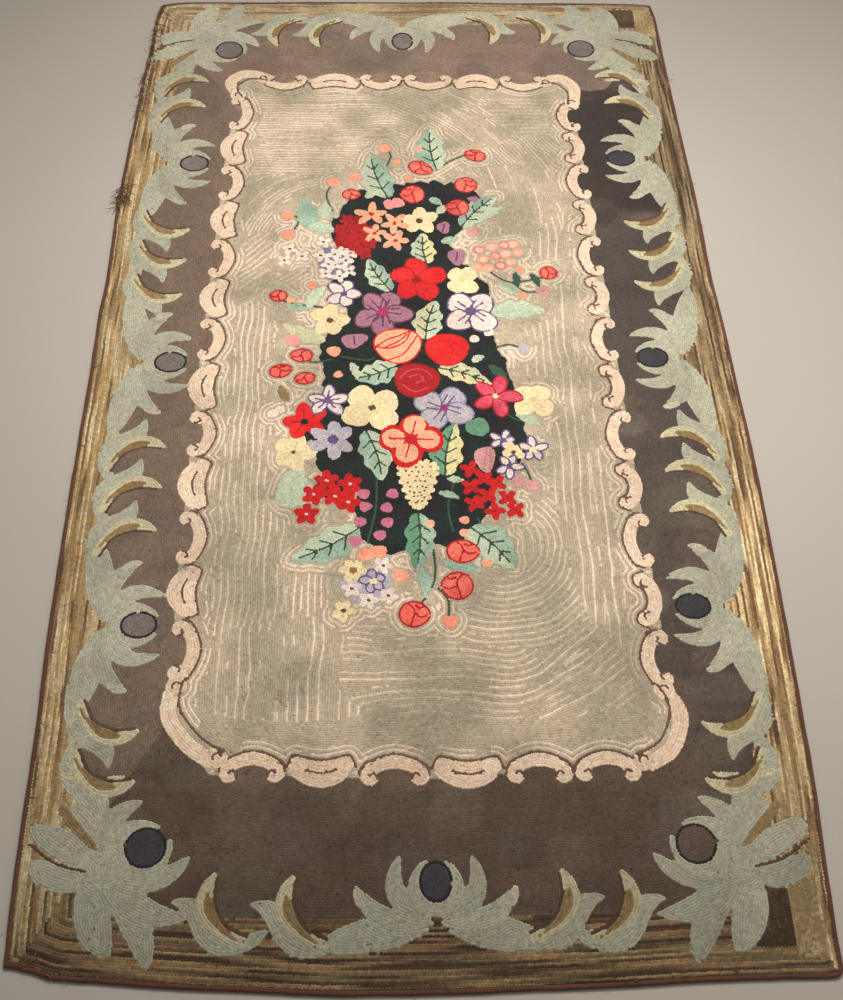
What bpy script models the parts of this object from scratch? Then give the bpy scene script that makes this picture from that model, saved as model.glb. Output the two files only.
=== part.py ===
"""A hooked rug lying flat: one hooked panel, edged with four mitred lengths of binding.

Frame: metres, +Z up, X across the rug, Y along it from the near end to the far end.
The origin is on the floor, under the middle of the rug's bounding box.
"""

from collections import namedtuple

import bmesh
import bpy
from mathutils import Vector

# Overall sizes
WIDTH = 1.058
LENGTH = 1.915
PANEL_THICKNESS = 0.0070
BINDING_HEIGHT = 0.0062
BINDING_WIDTH = 0.0112
CLEARANCE = 0.0003

# The binding's tape is turned under the rug, and lies in a shallow step of the panel
TAPE_REACH = 0.0300
TAPE_THICKNESS = 0.0012

# Rounds: along the folded outer edge of the binding, its inner edge, and the rim of the pile
FOLD_ROUND = 0.0022
INNER_ROUND = 0.0012
PILE_ROUND = 0.0014

# Stations along a side, and steps in a corner (an even number, so that one lies on the mitre)
SHORT_SIDE_STATIONS = 16
LONG_SIDE_STATIONS = 26
CORNER_STEPS = 6
SMALLEST_CORNER = 0.0020

# How far each uneven edge lies inside the bounding rectangle. A station's place is measured
# along the edge from the middle of the rug, and its inset from the rectangle.
Station = namedtuple("Station", "place inset")
NEAR_EDGE = [
    Station(place=-0.503, inset=0.036),
    Station(place=-0.478, inset=0.030),
    Station(place=-0.453, inset=0.022),
    Station(place=-0.403, inset=0.018),
    Station(place=-0.303, inset=0.010),
    Station(place=-0.203, inset=0.005),
    Station(place=-0.103, inset=0.000),
    Station(place=0.047, inset=0.001),
    Station(place=0.147, inset=0.004),
    Station(place=0.247, inset=0.007),
    Station(place=0.347, inset=0.012),
    Station(place=0.497, inset=0.015),
]
FAR_EDGE = [
    Station(place=-0.503, inset=0.019),
    Station(place=-0.483, inset=0.014),
    Station(place=-0.453, inset=0.009),
    Station(place=-0.303, inset=0.007),
    Station(place=-0.203, inset=0.004),
    Station(place=-0.003, inset=0.002),
    Station(place=0.097, inset=0.000),
    Station(place=0.197, inset=0.002),
    Station(place=0.297, inset=0.000),
    Station(place=0.447, inset=0.001),
    Station(place=0.491, inset=0.005),
]
LEFT_EDGE = [
    Station(place=-0.917, inset=0.014),
    Station(place=-0.840, inset=0.010),
    Station(place=-0.740, inset=0.008),
    Station(place=-0.590, inset=0.006),
    Station(place=-0.490, inset=0.002),
    Station(place=-0.190, inset=0.000),
    Station(place=0.010, inset=0.001),
    Station(place=0.110, inset=0.000),
    Station(place=0.210, inset=0.003),
    Station(place=0.360, inset=0.001),
    Station(place=0.510, inset=0.004),
    Station(place=0.610, inset=0.008),
    Station(place=0.710, inset=0.010),
    Station(place=0.810, inset=0.016),
    Station(place=0.880, inset=0.017),
    Station(place=0.930, inset=0.024),
]
RIGHT_EDGE = [
    Station(place=-0.890, inset=0.012),
    Station(place=-0.790, inset=0.008),
    Station(place=-0.690, inset=0.003),
    Station(place=-0.390, inset=0.000),
    Station(place=-0.190, inset=0.001),
    Station(place=0.010, inset=0.007),
    Station(place=0.110, inset=0.010),
    Station(place=0.210, inset=0.015),
    Station(place=0.410, inset=0.017),
    Station(place=0.510, inset=0.021),
    Station(place=0.610, inset=0.024),
    Station(place=0.760, inset=0.029),
    Station(place=0.910, inset=0.032),
    Station(place=0.948, inset=0.037),
]

# The sides run anticlockwise. A side's corner radius is that of the corner where it starts.
Side = namedtuple("Side", "name edge stations along inward corner_radius")
SIDES = [
    Side("near", NEAR_EDGE, SHORT_SIDE_STATIONS, Vector((1, 0)), Vector((0, 1)), 0.005),
    Side("right", RIGHT_EDGE, LONG_SIDE_STATIONS, Vector((0, 1)), Vector((-1, 0)), 0.016),
    Side("far", FAR_EDGE, SHORT_SIDE_STATIONS, Vector((-1, 0)), Vector((0, -1)), 0.007),
    Side("left", LEFT_EDGE, LONG_SIDE_STATIONS, Vector((0, -1)), Vector((1, 0)), 0.007),
]

# Colours, linear RGB
PILE_COLOUR = (0.30, 0.27, 0.20)
BINDING_COLOUR = (0.115, 0.055, 0.030)


def clear_scene():
    for obj in list(bpy.data.objects):
        bpy.data.objects.remove(obj, do_unlink=True)


def cloth_material(name, colour):
    material = bpy.data.materials.new(name)
    material.use_nodes = True
    shader = material.node_tree.nodes["Principled BSDF"]
    shader.inputs["Base Color"].default_value = (*colour, 1.0)
    shader.inputs["Roughness"].default_value = 0.95
    shader.inputs["Metallic"].default_value = 0.0
    return material


def inset_at(edge, place):
    """The edge's inset at a place along it, on a smooth curve through its stations."""
    last = len(edge) - 1
    k = max(i for i in range(last) if i == 0 or edge[i].place <= place)
    a, b = edge[k], edge[k + 1]
    before, after = edge[max(k - 1, 0)], edge[min(k + 2, last)]
    span = b.place - a.place
    t = min(max((place - a.place) / span, 0.0), 1.0)
    slope_a = (b.inset - before.inset) / (b.place - before.place) * span
    slope_b = (after.inset - a.inset) / (after.place - a.place) * span
    inset = (
        a.inset * (1 + 2 * t) * (1 - t) ** 2
        + slope_a * t * (1 - t) ** 2
        + b.inset * t * t * (3 - 2 * t)
        - slope_b * t * t * (1 - t)
    )
    return max(inset, 0.0)


def half_sizes(side):
    """Half the rectangle's size along the side, and half its size across the side."""
    if side.along.x:
        return WIDTH / 2, LENGTH / 2
    return LENGTH / 2, WIDTH / 2


def inset_of(side, along):
    """The side's inset at a distance along it from its middle, in its own direction."""
    return inset_at(side.edge, along * (side.along.x + side.along.y))


def side_run(index, depth):
    """Points along one side from corner round to corner round, a depth inside the outline."""
    side = SIDES[index]
    before, after = SIDES[index - 1], SIDES[(index + 1) % len(SIDES)]
    half_along, half_across = half_sizes(side)
    start = -half_along + inset_of(before, half_across) + depth
    end = half_along - inset_of(after, -half_across) - depth
    start += max(side.corner_radius - depth, SMALLEST_CORNER)
    end -= max(after.corner_radius - depth, SMALLEST_CORNER)
    points = []
    for i in range(side.stations + 1):
        along = start + (end - start) * i / side.stations
        across = inset_of(side, along) + depth - half_across
        points.append(side.along * along + side.inward * across)
    return points


def corner_round(index, start, end):
    """Points between the start and the end of the round where the side of this index begins."""
    before = SIDES[index - 1]
    corner = start + before.along * (end - start).dot(before.along)
    points = []
    for step in range(1, CORNER_STEPS):
        t = step / CORNER_STEPS
        points.append(start * (1 - t) ** 2 + corner * 2 * t * (1 - t) + end * t * t)
    return points


def outline(depth):
    """The rug's outline a depth inside its edge, in four stretches from mitre to mitre."""
    runs = [side_run(index, depth) for index in range(len(SIDES))]
    rounds = [corner_round(i, runs[i - 1][-1], runs[i][0]) for i in range(len(SIDES))]
    middle = CORNER_STEPS // 2 - 1
    stretches = []
    for index, run in enumerate(runs):
        following = rounds[(index + 1) % len(SIDES)]
        stretches.append(rounds[index][middle:] + run + following[: middle + 1])
    return stretches


def closed_ring(depth, height):
    """The whole outline as one closed loop of points at a height."""
    points = [point for stretch in outline(depth) for point in stretch[:-1]]
    return [point.to_3d() + Vector((0, 0, height)) for point in points]


def loft(name, loops, material, collection):
    """A closed body through loops of points, capped at the first and the last loop."""
    bm = bmesh.new()
    rows = [[bm.verts.new(point) for point in loop] for loop in loops]
    count = len(rows[0])
    for row, following in zip(rows, rows[1:]):
        for i in range(count):
            j = (i + 1) % count
            bm.faces.new((row[i], row[j], following[j], following[i]))
    bm.faces.new(rows[0])
    bm.faces.new(rows[-1])
    bmesh.ops.recalc_face_normals(bm, faces=bm.faces)
    mesh = bpy.data.meshes.new(name)
    bm.to_mesh(mesh)
    bm.free()
    mesh.materials.append(material)
    obj = bpy.data.objects.new(name, mesh)
    collection.objects.link(obj)
    return obj


def hooked_panel(material, collection):
    """The foundation cloth and its short pile, stepped underneath where the tape lies."""
    pile_edge = BINDING_WIDTH + CLEARANCE
    step_edge = TAPE_REACH + CLEARANCE
    step_height = TAPE_THICKNESS + CLEARANCE
    profile = [
        (step_edge, 0.0),
        (step_edge, step_height),
        (pile_edge, step_height),
        (pile_edge, PANEL_THICKNESS - PILE_ROUND),
        (pile_edge + 0.3 * PILE_ROUND, PANEL_THICKNESS - 0.3 * PILE_ROUND),
        (pile_edge + PILE_ROUND, PANEL_THICKNESS),
    ]
    rings = [closed_ring(depth, height) for depth, height in profile]
    return loft("hooked_panel", rings, material, collection)


def binding_profile():
    """Depth and height of the points round the binding: a rounded edge and the turned tape."""
    return [
        (FOLD_ROUND, 0.0),
        (0.3 * FOLD_ROUND, 0.3 * FOLD_ROUND),
        (0.0, FOLD_ROUND),
        (0.0, BINDING_HEIGHT - 1.3 * FOLD_ROUND),
        (0.3 * FOLD_ROUND, BINDING_HEIGHT - 0.5 * FOLD_ROUND),
        (1.3 * FOLD_ROUND, BINDING_HEIGHT),
        (BINDING_WIDTH - INNER_ROUND, BINDING_HEIGHT),
        (BINDING_WIDTH, BINDING_HEIGHT - INNER_ROUND),
        (BINDING_WIDTH, TAPE_THICKNESS),
        (TAPE_REACH, TAPE_THICKNESS),
        (TAPE_REACH, 0.0),
    ]


def binding(index, material, collection):
    """One length of binding, mitred at both ends with half the clearance taken off each."""
    side = SIDES[index]
    before, after = SIDES[index - 1], SIDES[(index + 1) % len(SIDES)]
    trim_start = (before.along + side.along).normalized() * CLEARANCE / 2
    trim_end = (side.along + after.along).normalized() * CLEARANCE / 2
    lines = []
    for depth, height in binding_profile():
        line = [point.copy() for point in outline(depth)[index]]
        line[0] += trim_start
        line[-1] -= trim_end
        lines.append([point.to_3d() + Vector((0, 0, height)) for point in line])
    sections = [list(section) for section in zip(*lines)]
    return loft("binding_" + side.name, sections, material, collection)


def main():
    clear_scene()
    collection = bpy.data.collections.new("hooked_rug")
    bpy.context.scene.collection.children.link(collection)
    hooked_panel(cloth_material("pile", PILE_COLOUR), collection)
    tape = cloth_material("binding", BINDING_COLOUR)
    for index in range(len(SIDES)):
        binding(index, tape, collection)


main()
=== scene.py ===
import math
from collections import namedtuple
from itertools import combinations

import bpy
import numpy as np
from mathutils import Matrix, Vector
from mathutils.geometry import delaunay_2d_cdt


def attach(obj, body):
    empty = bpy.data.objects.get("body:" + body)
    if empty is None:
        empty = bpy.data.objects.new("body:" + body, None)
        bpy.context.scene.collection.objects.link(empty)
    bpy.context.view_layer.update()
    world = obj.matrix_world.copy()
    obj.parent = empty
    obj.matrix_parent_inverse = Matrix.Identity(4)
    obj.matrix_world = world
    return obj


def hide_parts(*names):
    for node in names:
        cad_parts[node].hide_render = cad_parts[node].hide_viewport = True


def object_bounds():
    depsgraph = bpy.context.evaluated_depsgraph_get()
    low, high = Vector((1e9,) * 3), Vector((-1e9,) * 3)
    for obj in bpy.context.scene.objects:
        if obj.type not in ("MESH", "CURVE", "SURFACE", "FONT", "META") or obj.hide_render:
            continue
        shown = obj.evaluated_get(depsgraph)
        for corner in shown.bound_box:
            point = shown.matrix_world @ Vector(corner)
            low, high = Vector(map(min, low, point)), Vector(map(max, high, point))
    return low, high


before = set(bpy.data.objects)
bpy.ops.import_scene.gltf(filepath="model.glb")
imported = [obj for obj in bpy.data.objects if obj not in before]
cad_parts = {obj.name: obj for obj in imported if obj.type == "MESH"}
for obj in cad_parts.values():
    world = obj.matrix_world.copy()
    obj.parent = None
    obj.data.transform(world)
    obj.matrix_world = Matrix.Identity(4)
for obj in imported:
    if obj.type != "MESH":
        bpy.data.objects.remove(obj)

CAD_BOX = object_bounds()
SEED = 20

# The pattern is drawn in centimetres, on a sheet whose middle is here in the rug's own metres
PATTERN_MIDDLE = (-0.0030, 0.0105)

# The canvas: a grid of one-millimetre cells over the whole rug
CELL = 0.001
COLUMNS = 1060
ROWS = 1920

# Hooking, in cells: the distances between rows and along a row, and how near to each other loops stand
ROW_PITCH = 3.40
FINE_PITCH = 2.95
PITCHES = (ROW_PITCH, FINE_PITCH)
ALONG_SHARE = 1.30
APART = 0.74
COVER = 0.95
FINE_CELLS = 2
# The loops' height, relief and ribs, in metres
LOOP_TOP = 0.0070
LOOP_RELIEF = 0.0013
RIM_HEIGHT = 0.0024
LOOP_LENGTH = 0.0022
LONGEST_REACH = 0.0035
LOOPS_PER_PIECE = 32500
# How wide single rows are, in cells
BOLD, FIRM, OUTLINE, VEIN, HAIR = 2.8, 2.6, 2.4, 2.2, 2.0
# How large the lumps of the soft random fields are, in cells
SLOW_LUMPS, QUICK_LUMPS, PATCHY_LUMPS, BREAK_LUMPS = 60, 22, 26, 34
BAND_LUMPS, BAND_STRETCH = 45, 1.6

# Colours as they look in even light, sRGB out of 255
YARNS = {
    "field": (168, 153, 131),
    "field_light": (228, 204, 180),
    "field_warm": (192, 171, 148),
    "band": (137, 114, 97),
    "scroll": (238, 212, 186),
    "scroll_outline": (112, 84, 70),
    "sage": (182, 177, 154),
    "horn": (194, 185, 162),
    "crescent": (208, 196, 160),
    "olive": (154, 130, 90),
    "earth": (92, 70, 54),
    "eye": (126, 114, 110),
    "eye_dark": (66, 62, 66),
    "eye_outline": (44, 38, 38),
    "streaks": (160, 135, 104),
    "black": (34, 31, 32),
    "coral": (234, 98, 82),
    "deep_red": (150, 26, 20),
    "red": (206, 32, 32),
    "scarlet": (214, 32, 34),
    "crimson": (176, 34, 38),
    "blush": (226, 184, 166),
    "hot_pink": (208, 64, 86),
    "pink": (226, 148, 140),
    "peach": (232, 174, 136),
    "salmon": (252, 150, 120),
    "cream": (236, 214, 170),
    "white": (232, 213, 196),
    "lavender": (192, 182, 182),
    "purple": (104, 84, 124),
    "slate": (132, 124, 152),
    "umber": (104, 82, 56),
    "straw": (190, 164, 122),
    "rose_red": (208, 72, 80),
    "plum": (104, 60, 82),
    "mauve": (166, 116, 130),
    "dusky": (190, 136, 132),
    "berry": (196, 112, 134),
    "magenta": (168, 44, 96),
    "brown": (104, 66, 44),
    "pale_leaf": (192, 200, 172),
    "sage_leaf": (146, 170, 150),
    "vein": (58, 74, 56),
    "dark_green": (56, 84, 66),
    "khaki": (198, 192, 156),
    "gold_leaf": (222, 206, 150),
    "emerald": (104, 150, 118),
}

Shape = namedtuple("Shape", "yarn group")
shapes = [Shape("streaks", "edge")]
canvas = np.zeros((ROWS, COLUMNS), np.int32)
lines = []
group = "edge"
noise_source = np.random.default_rng(SEED)


def cells(points):
    """Pattern centimetres as canvas columns and rows."""
    points = np.asarray(points, float).reshape(-1, 2)
    column = (points[:, 0] / 100 + PATTERN_MIDDLE[0]) / CELL + COLUMNS / 2 - 0.5
    row = (points[:, 1] / 100 + PATTERN_MIDDLE[1]) / CELL + ROWS / 2 - 0.5
    return np.stack([column, row], 1)


def metres(points):
    """Canvas columns and rows as the rug's metres."""
    return (points + 0.5 - np.array([COLUMNS / 2, ROWS / 2])) * CELL


def smooth_noise(cell, stretch=1.0):
    """A soft random field over the canvas, between -1 and 1, with lumps of so many cells."""
    wide, tall = cell * stretch, cell
    grid = noise_source.uniform(-1, 1, (int(ROWS / tall) + 3, int(COLUMNS / wide) + 3))
    y = np.arange(ROWS) / tall
    x = np.arange(COLUMNS) / wide
    iy, ix = y.astype(int), x.astype(int)
    fy, fx = y - iy, x - ix
    fy = (fy * fy * (3 - 2 * fy))[:, None]
    fx = fx * fx * (3 - 2 * fx)
    low = grid[iy][:, ix] * (1 - fx) + grid[iy][:, ix + 1] * fx
    high = grid[iy + 1][:, ix] * (1 - fx) + grid[iy + 1][:, ix + 1] * fx
    return low * (1 - fy) + high * fy


# Drawing on the canvas


def add_shape(yarn):
    shapes.append(Shape(yarn, group))
    return len(shapes) - 1


def filled(outline):
    """The canvas cells inside a closed outline, as a window of the canvas and a mask."""
    low = np.maximum(np.floor(outline.min(0)).astype(int), 0)
    high = np.minimum(np.ceil(outline.max(0)).astype(int) + 1, [COLUMNS, ROWS])
    width, height = np.maximum(high - low, 1)
    hits = np.zeros((height, width + 1), bool)
    for (x1, y1), (x2, y2) in zip(outline - low, np.roll(outline, -1, 0) - low):
        if y1 == y2:
            continue
        first, last = sorted((math.ceil(y1), math.ceil(y2)))
        rows = np.arange(max(first, 0), min(last, height))
        columns = np.ceil(x1 + (rows - y1) * (x2 - x1) / (y2 - y1)).astype(int)
        hits[rows, np.clip(columns, 0, width)] ^= True
    window = (slice(low[1], low[1] + height), slice(low[0], low[0] + width))
    return window, np.logical_xor.accumulate(hits, axis=1)[:, :width]


def paint(yarn, outline):
    window, mask = filled(cells(outline))
    canvas[window][mask] = add_shape(yarn)


def line(yarn, points, pitch=None):
    """A single row of loops along a path."""
    path = resampled(cells(points), 0.5)
    pitch = pitch or PITCHES[group == "bouquet"]
    index = add_shape(yarn)
    reach = pitch / 2
    box = int(reach) + 1
    for x, y in path:
        column, row = int(round(x)), int(round(y))
        if not (box <= column < COLUMNS - box and box <= row < ROWS - box):
            continue
        window = canvas[row - box:row + box + 1, column - box:column + box + 1]
        dy, dx = np.mgrid[-box:box + 1, -box:box + 1]
        window[(dx + column - x) ** 2 + (dy + row - y) ** 2 <= reach * reach] = index
    lines.append((index, resampled(path, pitch * ALONG_SHARE)))


def resampled(path, step):
    """Points an even distance apart along a path."""
    gaps = np.hypot(*np.diff(path, axis=0).T)
    far = np.concatenate([[0], np.cumsum(gaps)])
    count = max(int(round(far[-1] / step)), 1)
    at = (np.arange(count) + 0.5) * far[-1] / count
    return np.stack([np.interp(at, far, path[:, 0]), np.interp(at, far, path[:, 1])], 1)


def curve(points, closed=False, steps=6):
    """A smooth curve through a few points."""
    points = np.asarray(points, float)
    ends = (points[-1:], points[:2]) if closed else (points[:1], points[-1:])
    padded = np.concatenate([ends[0], points, ends[1]])
    out = []
    for a, b, c, d in zip(padded, padded[1:], padded[2:], padded[3:]):
        for t in np.arange(steps) / steps:
            out.append(
                0.5 * (2 * b + (c - a) * t + (2 * a - 5 * b + 4 * c - d) * t * t
                       + (3 * b - a - 3 * c + d) * t ** 3)
            )
    if not closed:
        out.append(points[-1])
    return np.array(out)


def heading(degrees):
    return np.array([math.cos(math.radians(degrees)), math.sin(math.radians(degrees))])


def ellipse(x, y, rx, ry, tilt=0.0, wobble=0.0):
    angle = np.linspace(0, 2 * math.pi, 28, endpoint=False)
    scale = 1 + wobble * np.sin(3 * angle + x + 2 * y)
    c, s = heading(tilt)
    u, v = rx * scale * np.cos(angle), ry * scale * np.sin(angle)
    return np.stack([x + u * c - v * s, y + u * s + v * c], 1)


def lobe(start, via, end, widths):
    """A curved, tapered tongue: its middle bends toward the point between its two ends."""
    start, via, end = (np.asarray(p, float) for p in (start, via, end))
    t = np.linspace(0, 1, 15)[:, None]
    middle = start * (1 - t) ** 2 + 2 * via * t * (1 - t) + end * t * t
    way = 2 * (via - start) * (1 - t) + 2 * (end - via) * t
    normal = np.stack([-way[:, 1], way[:, 0]], 1) / np.hypot(*way.T)[:, None]
    w0, w1, w2 = widths
    half = (w0 * (1 - t) ** 2 + 2 * (2 * w1 - (w0 + w2) / 2) * t * (1 - t) + w2 * t * t) / 2
    half = np.maximum(half, 0.1) * np.sqrt(1 - (np.clip(t - 0.82, 0, 1) / 0.181) ** 2)
    return np.concatenate([middle + normal * half, (middle - normal * half)[::-1]])


def placed(points, origin, across, inward):
    """Points of a repeat, given along and across its border, laid at a place of the border."""
    points = np.asarray(points, float).reshape(-1, 2)
    return np.asarray(origin) + points[:, :1] * np.asarray(across) + points[:, 1:] * np.asarray(inward)


# The ground: streaked outer edge, brown band, and the field inside the scrolls


FIELD_CORNERS = [
    (-32.8, 70.6), (30.4, 71.0), (31.6, 52.0), (33.0, 15.0), (34.7, -43.0), (35.4, -58.0),
    (35.0, -64.0), (31.0, -67.8), (2.0, -69.8), (-28.0, -69.0), (-34.0, -62.0), (-35.0, -40.0),
    (-35.0, 0.0), (-34.2, 50.0),
]
BAND_CORNERS = [
    (-33, -87.6), (33, -87.6), (40, -83.5), (42.4, -76), (46.8, -60), (46.2, 10), (45.0, 66),
    (41.4, 77), (38.4, 84.4), (32, 87.6), (-32, 87.2), (-39.2, 83), (-42, 76), (-46.4, 62),
    (-46.4, -62), (-41.6, -76), (-39.4, -82.6),
]


# The eye motif: a cup round an eye, on two leaves


Lobe = namedtuple("Lobe", "start via end widths yarn", defaults=["sage"])
EYE_NOTCH = [(0, 0.9), (2.9, -1.6), (7.5, -4.6), (-7.5, -4.6), (-2.9, -1.6)]
EYE_LOBES = [
    Lobe((0.6, 0.2), (5.2, -1.2), (15.4, -3.2), (1.0, 4.4, 1.4)),
    Lobe((0.6, 0.0), (8.2, -1.2), (10.1, 4.4), (1.2, 2.7, 0.6)),
    Lobe((0.4, 1.2), (7.4, 1.6), (4.5, 8.4), (2.2, 2.7, 0.7)),
    Lobe((0.8, 2.2), (4.2, 3.6), (1.1, 7.7), (2.0, 2.0, 0.6)),
    Lobe((9.2, 1.6), (10.2, 2.8), (10.1, 4.4), (0.8, 1.1, 0.5), "horn"),
]
# Each ellipse: its middle and its two half widths
EYE_WAIST = (0, 1.6, 1.9, 1.2)
EYE_BALL = (0, 4.8, 1.8, 2.3)
EYE_RIM = (0, 4.8, 2.0, 2.5)
LEFT, RIGHT, NEAR, FAR = (-1, 0), (1, 0), (0, -1), (0, 1)
# Each eye's place, the way along its border, the way to the field, and its wool
EYE_PLACES = [
    ((1.8, -88.0), RIGHT, FAR, "eye_dark"),
    ((-1.5, 86.8), RIGHT, NEAR, "eye"),
    ((-44.5, 47.0), FAR, RIGHT, "eye"),
    ((-44.5, 0.8), FAR, RIGHT, "eye"),
    ((-44.5, -46.8), FAR, RIGHT, "eye"),
    ((43.6, 49.1), FAR, LEFT, "eye_dark"),
    ((44.1, 2.0), FAR, LEFT, "eye_dark"),
    ((44.7, -44.0), FAR, LEFT, "eye_dark"),
]


def paint_lobe(part, place, mirror=1):
    *bends, yarn = part
    paint(yarn, placed([(mirror * u, v) for u, v in lobe(*bends)], *place))


def draw_eye(origin, across, inward, eye_yarn):
    place = (origin, across, inward)
    paint("streaks", placed(EYE_NOTCH, *place))
    for mirror in (1, -1):
        for part in EYE_LOBES:
            paint_lobe(part, place, mirror)
    paint("sage", placed(ellipse(*EYE_WAIST), *place))
    paint(eye_yarn, placed(ellipse(*EYE_BALL), *place))
    line("eye_outline", placed(ellipse(*EYE_RIM), *place))


# The linking leaves: a bulging leaf, a pale crescent with an olive heart, and its dark underside


LEAF_OUTLINE = [
    (-5.2, 5.2), (-3.0, 5.7), (-1.0, 4.9), (0.6, 3.3), (2.4, 1.9), (4.6, 1.2), (7.2, 1.6),
    (5.8, -0.4), (3.2, -1.4), (0.4, -1.2), (-1.6, 0.4), (-2.8, 2.6), (-4.0, 4.2),
]
CRESCENT_OUTLINE = [
    (0.4, 8.8), (-1.1, 7.7), (-1.9, 5.8), (-1.5, 3.6), (0.2, 1.6), (3.8, -0.3), (4.6, 0.5),
    (1.8, 2.0), (0.6, 3.8), (0.1, 6.0),
]
CRESCENT_HEART = [
    (-0.6, 6.4), (-1.0, 5.0), (-0.5, 3.3), (1.1, 1.7), (3.9, 0.1), (1.8, 2.0), (0.8, 3.4),
    (0.2, 5.0),
]
CRESCENT_SHADE = [(0.5, 8.2), (0.3, 6.0), (0.8, 3.9), (2.0, 2.2), (4.8, 0.8)]
# Each link's place, the way that its leaf points, and the way to the field
LINKS = [
    ((-47.6, 69.8), NEAR, RIGHT), ((-47.6, 62.6), NEAR, RIGHT),
    ((-47.8, 30.2), FAR, RIGHT), ((-47.8, 23.1), FAR, RIGHT),
    ((-47.8, 15.2), FAR, RIGHT), ((-47.6, -15.8), NEAR, RIGHT),
    ((-47.5, -23.3), NEAR, RIGHT), ((-47.5, -30.9), NEAR, RIGHT),
    ((-46.6, -62.9), FAR, RIGHT), ((-46.4, -70.0), FAR, RIGHT),
    ((44.7, 72.0), NEAR, LEFT), ((45.9, 64.5), NEAR, LEFT),
    ((46.4, 32.7), FAR, LEFT), ((46.6, 25.5), FAR, LEFT),
    ((46.8, 18.4), FAR, LEFT), ((47.4, -13.8), NEAR, LEFT),
    ((47.4, -20.2), NEAR, LEFT), ((47.2, -27.6), NEAR, LEFT),
    ((47.4, -62.2), FAR, LEFT), ((46.8, -70.2), FAR, LEFT),
    ((-26.4, -90.6), RIGHT, FAR), ((-16.5, -91.0), RIGHT, FAR),
    ((18.1, -90.4), LEFT, FAR), ((25.8, -90.6), LEFT, FAR),
    ((-26.4, 89.0), RIGHT, NEAR), ((-18.2, 88.8), RIGHT, NEAR),
    ((16.2, 90.2), LEFT, NEAR), ((26.4, 90.6), LEFT, NEAR),
]


def draw_link_crescent(link):
    paint("crescent", placed(curve(CRESCENT_OUTLINE, True), *link))
    paint("olive", placed(curve(CRESCENT_HEART, True), *link))
    line("earth", placed(curve(CRESCENT_SHADE), *link))


# The corner motifs: an eye between two petals, on a body with leaves spread to the corner


CORNER_LOBES = [
    Lobe((12.4, -11.0), (8.8, -8.2), (6.4, -2.6), (1.0, 2.3, 2.0)),
    Lobe((6.1, 0.9), (8.1, -2.1), (10.2, -5.8), (3.0, 3.4, 1.0)),
    Lobe((6.1, 1.9), (10.6, -0.4), (15.2, -3.0), (2.5, 3.6, 1.8)),
    Lobe((6.1, 2.9), (11.4, 5.2), (14.6, 1.4), (2.8, 3.8, 1.2)),
    Lobe((5.6, 3.4), (7.0, 9.6), (3.0, 13.4), (3.2, 4.6, 1.6)),
    Lobe((4.1, 3.4), (-0.2, 8.9), (-1.8, 15.0), (3.6, 4.0, 1.4)),
    Lobe((3.6, 4.4), (0.1, 9.3), (-6.2, 8.8), (3.2, 3.4, 0.8)),
    Lobe((5.6, 0.6), (6.2, -4.3), (0.8, -6.2), (2.6, 2.8, 0.8)),
    Lobe((4.1, -0.6), (3.0, -3.6), (-1.8, -2.6), (2.2, 2.0, 0.7)),
    Lobe((3.4, 3.4), (-2.3, 6.0), (-5.8, 1.0), (2.6, 2.8, 0.8)),
    Lobe((2.1, 2.9), (-2.4, 3.9), (-3.2, -1.4), (2.0, 2.0, 0.7)),
]
CORNER_BODY = (5.0, 2.2, 3.1, 3.1)
CORNER_HEART = Lobe((11.6, -5.4), (9.4, -2.6), (5.8, 0.6), (0.9, 1.3, 0.4), "olive")
CORNER_SHADE = [(15.0, -0.6), (11.0, 2.0), (7.2, 3.0)]
CORNER_EDGE = Lobe((12.0, -9.8), (7.0, -8.4), (3.4, -9.6), (0.8, 1.1, 0.4), "crescent")
CORNER_BALL = (0, 0, 2.4, 2.35)
CORNER_RIM = (0, 0, 2.55, 2.5)
Corner = namedtuple("Corner", "eye outward yarn")
CORNERS = [
    Corner((-35.4, -78.6), (-1, -1), "eye_dark"),
    Corner((35.7, -78.6), (1, -1), "band"),
    Corner((-35.5, 78.9), (-1, 1), "eye"),
    Corner((33.9, 80.2), (1, 1), "eye"),
]


def draw_corner(corner):
    sx, sy = corner.outward
    place = (corner.eye, (sx, 0), (0, sy))
    for part in CORNER_LOBES:
        paint_lobe(part, place)
    paint("sage", placed(ellipse(*CORNER_BODY), *place))
    paint_lobe(CORNER_HEART, place)
    line("earth", placed(curve(CORNER_SHADE), *place))
    paint_lobe(CORNER_EDGE, place)
    paint(corner.yarn, placed(ellipse(*CORNER_BALL), *place))
    line("eye_outline", placed(ellipse(*CORNER_RIM), *place))


# The scroll border: C scrolls that curl to the field, and brackets that curl to the band


# How far the scrolls' backs bulge on each side, the bulge under which they are drawn open, and the
# half length that their shapes are given for
SCROLL_BULGE = {"left": 1.0, "right": 0.62, "near": 0.85, "far": 0.8}
OPEN_BULGE = 0.7
SCROLL_HALF = 4.4
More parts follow.
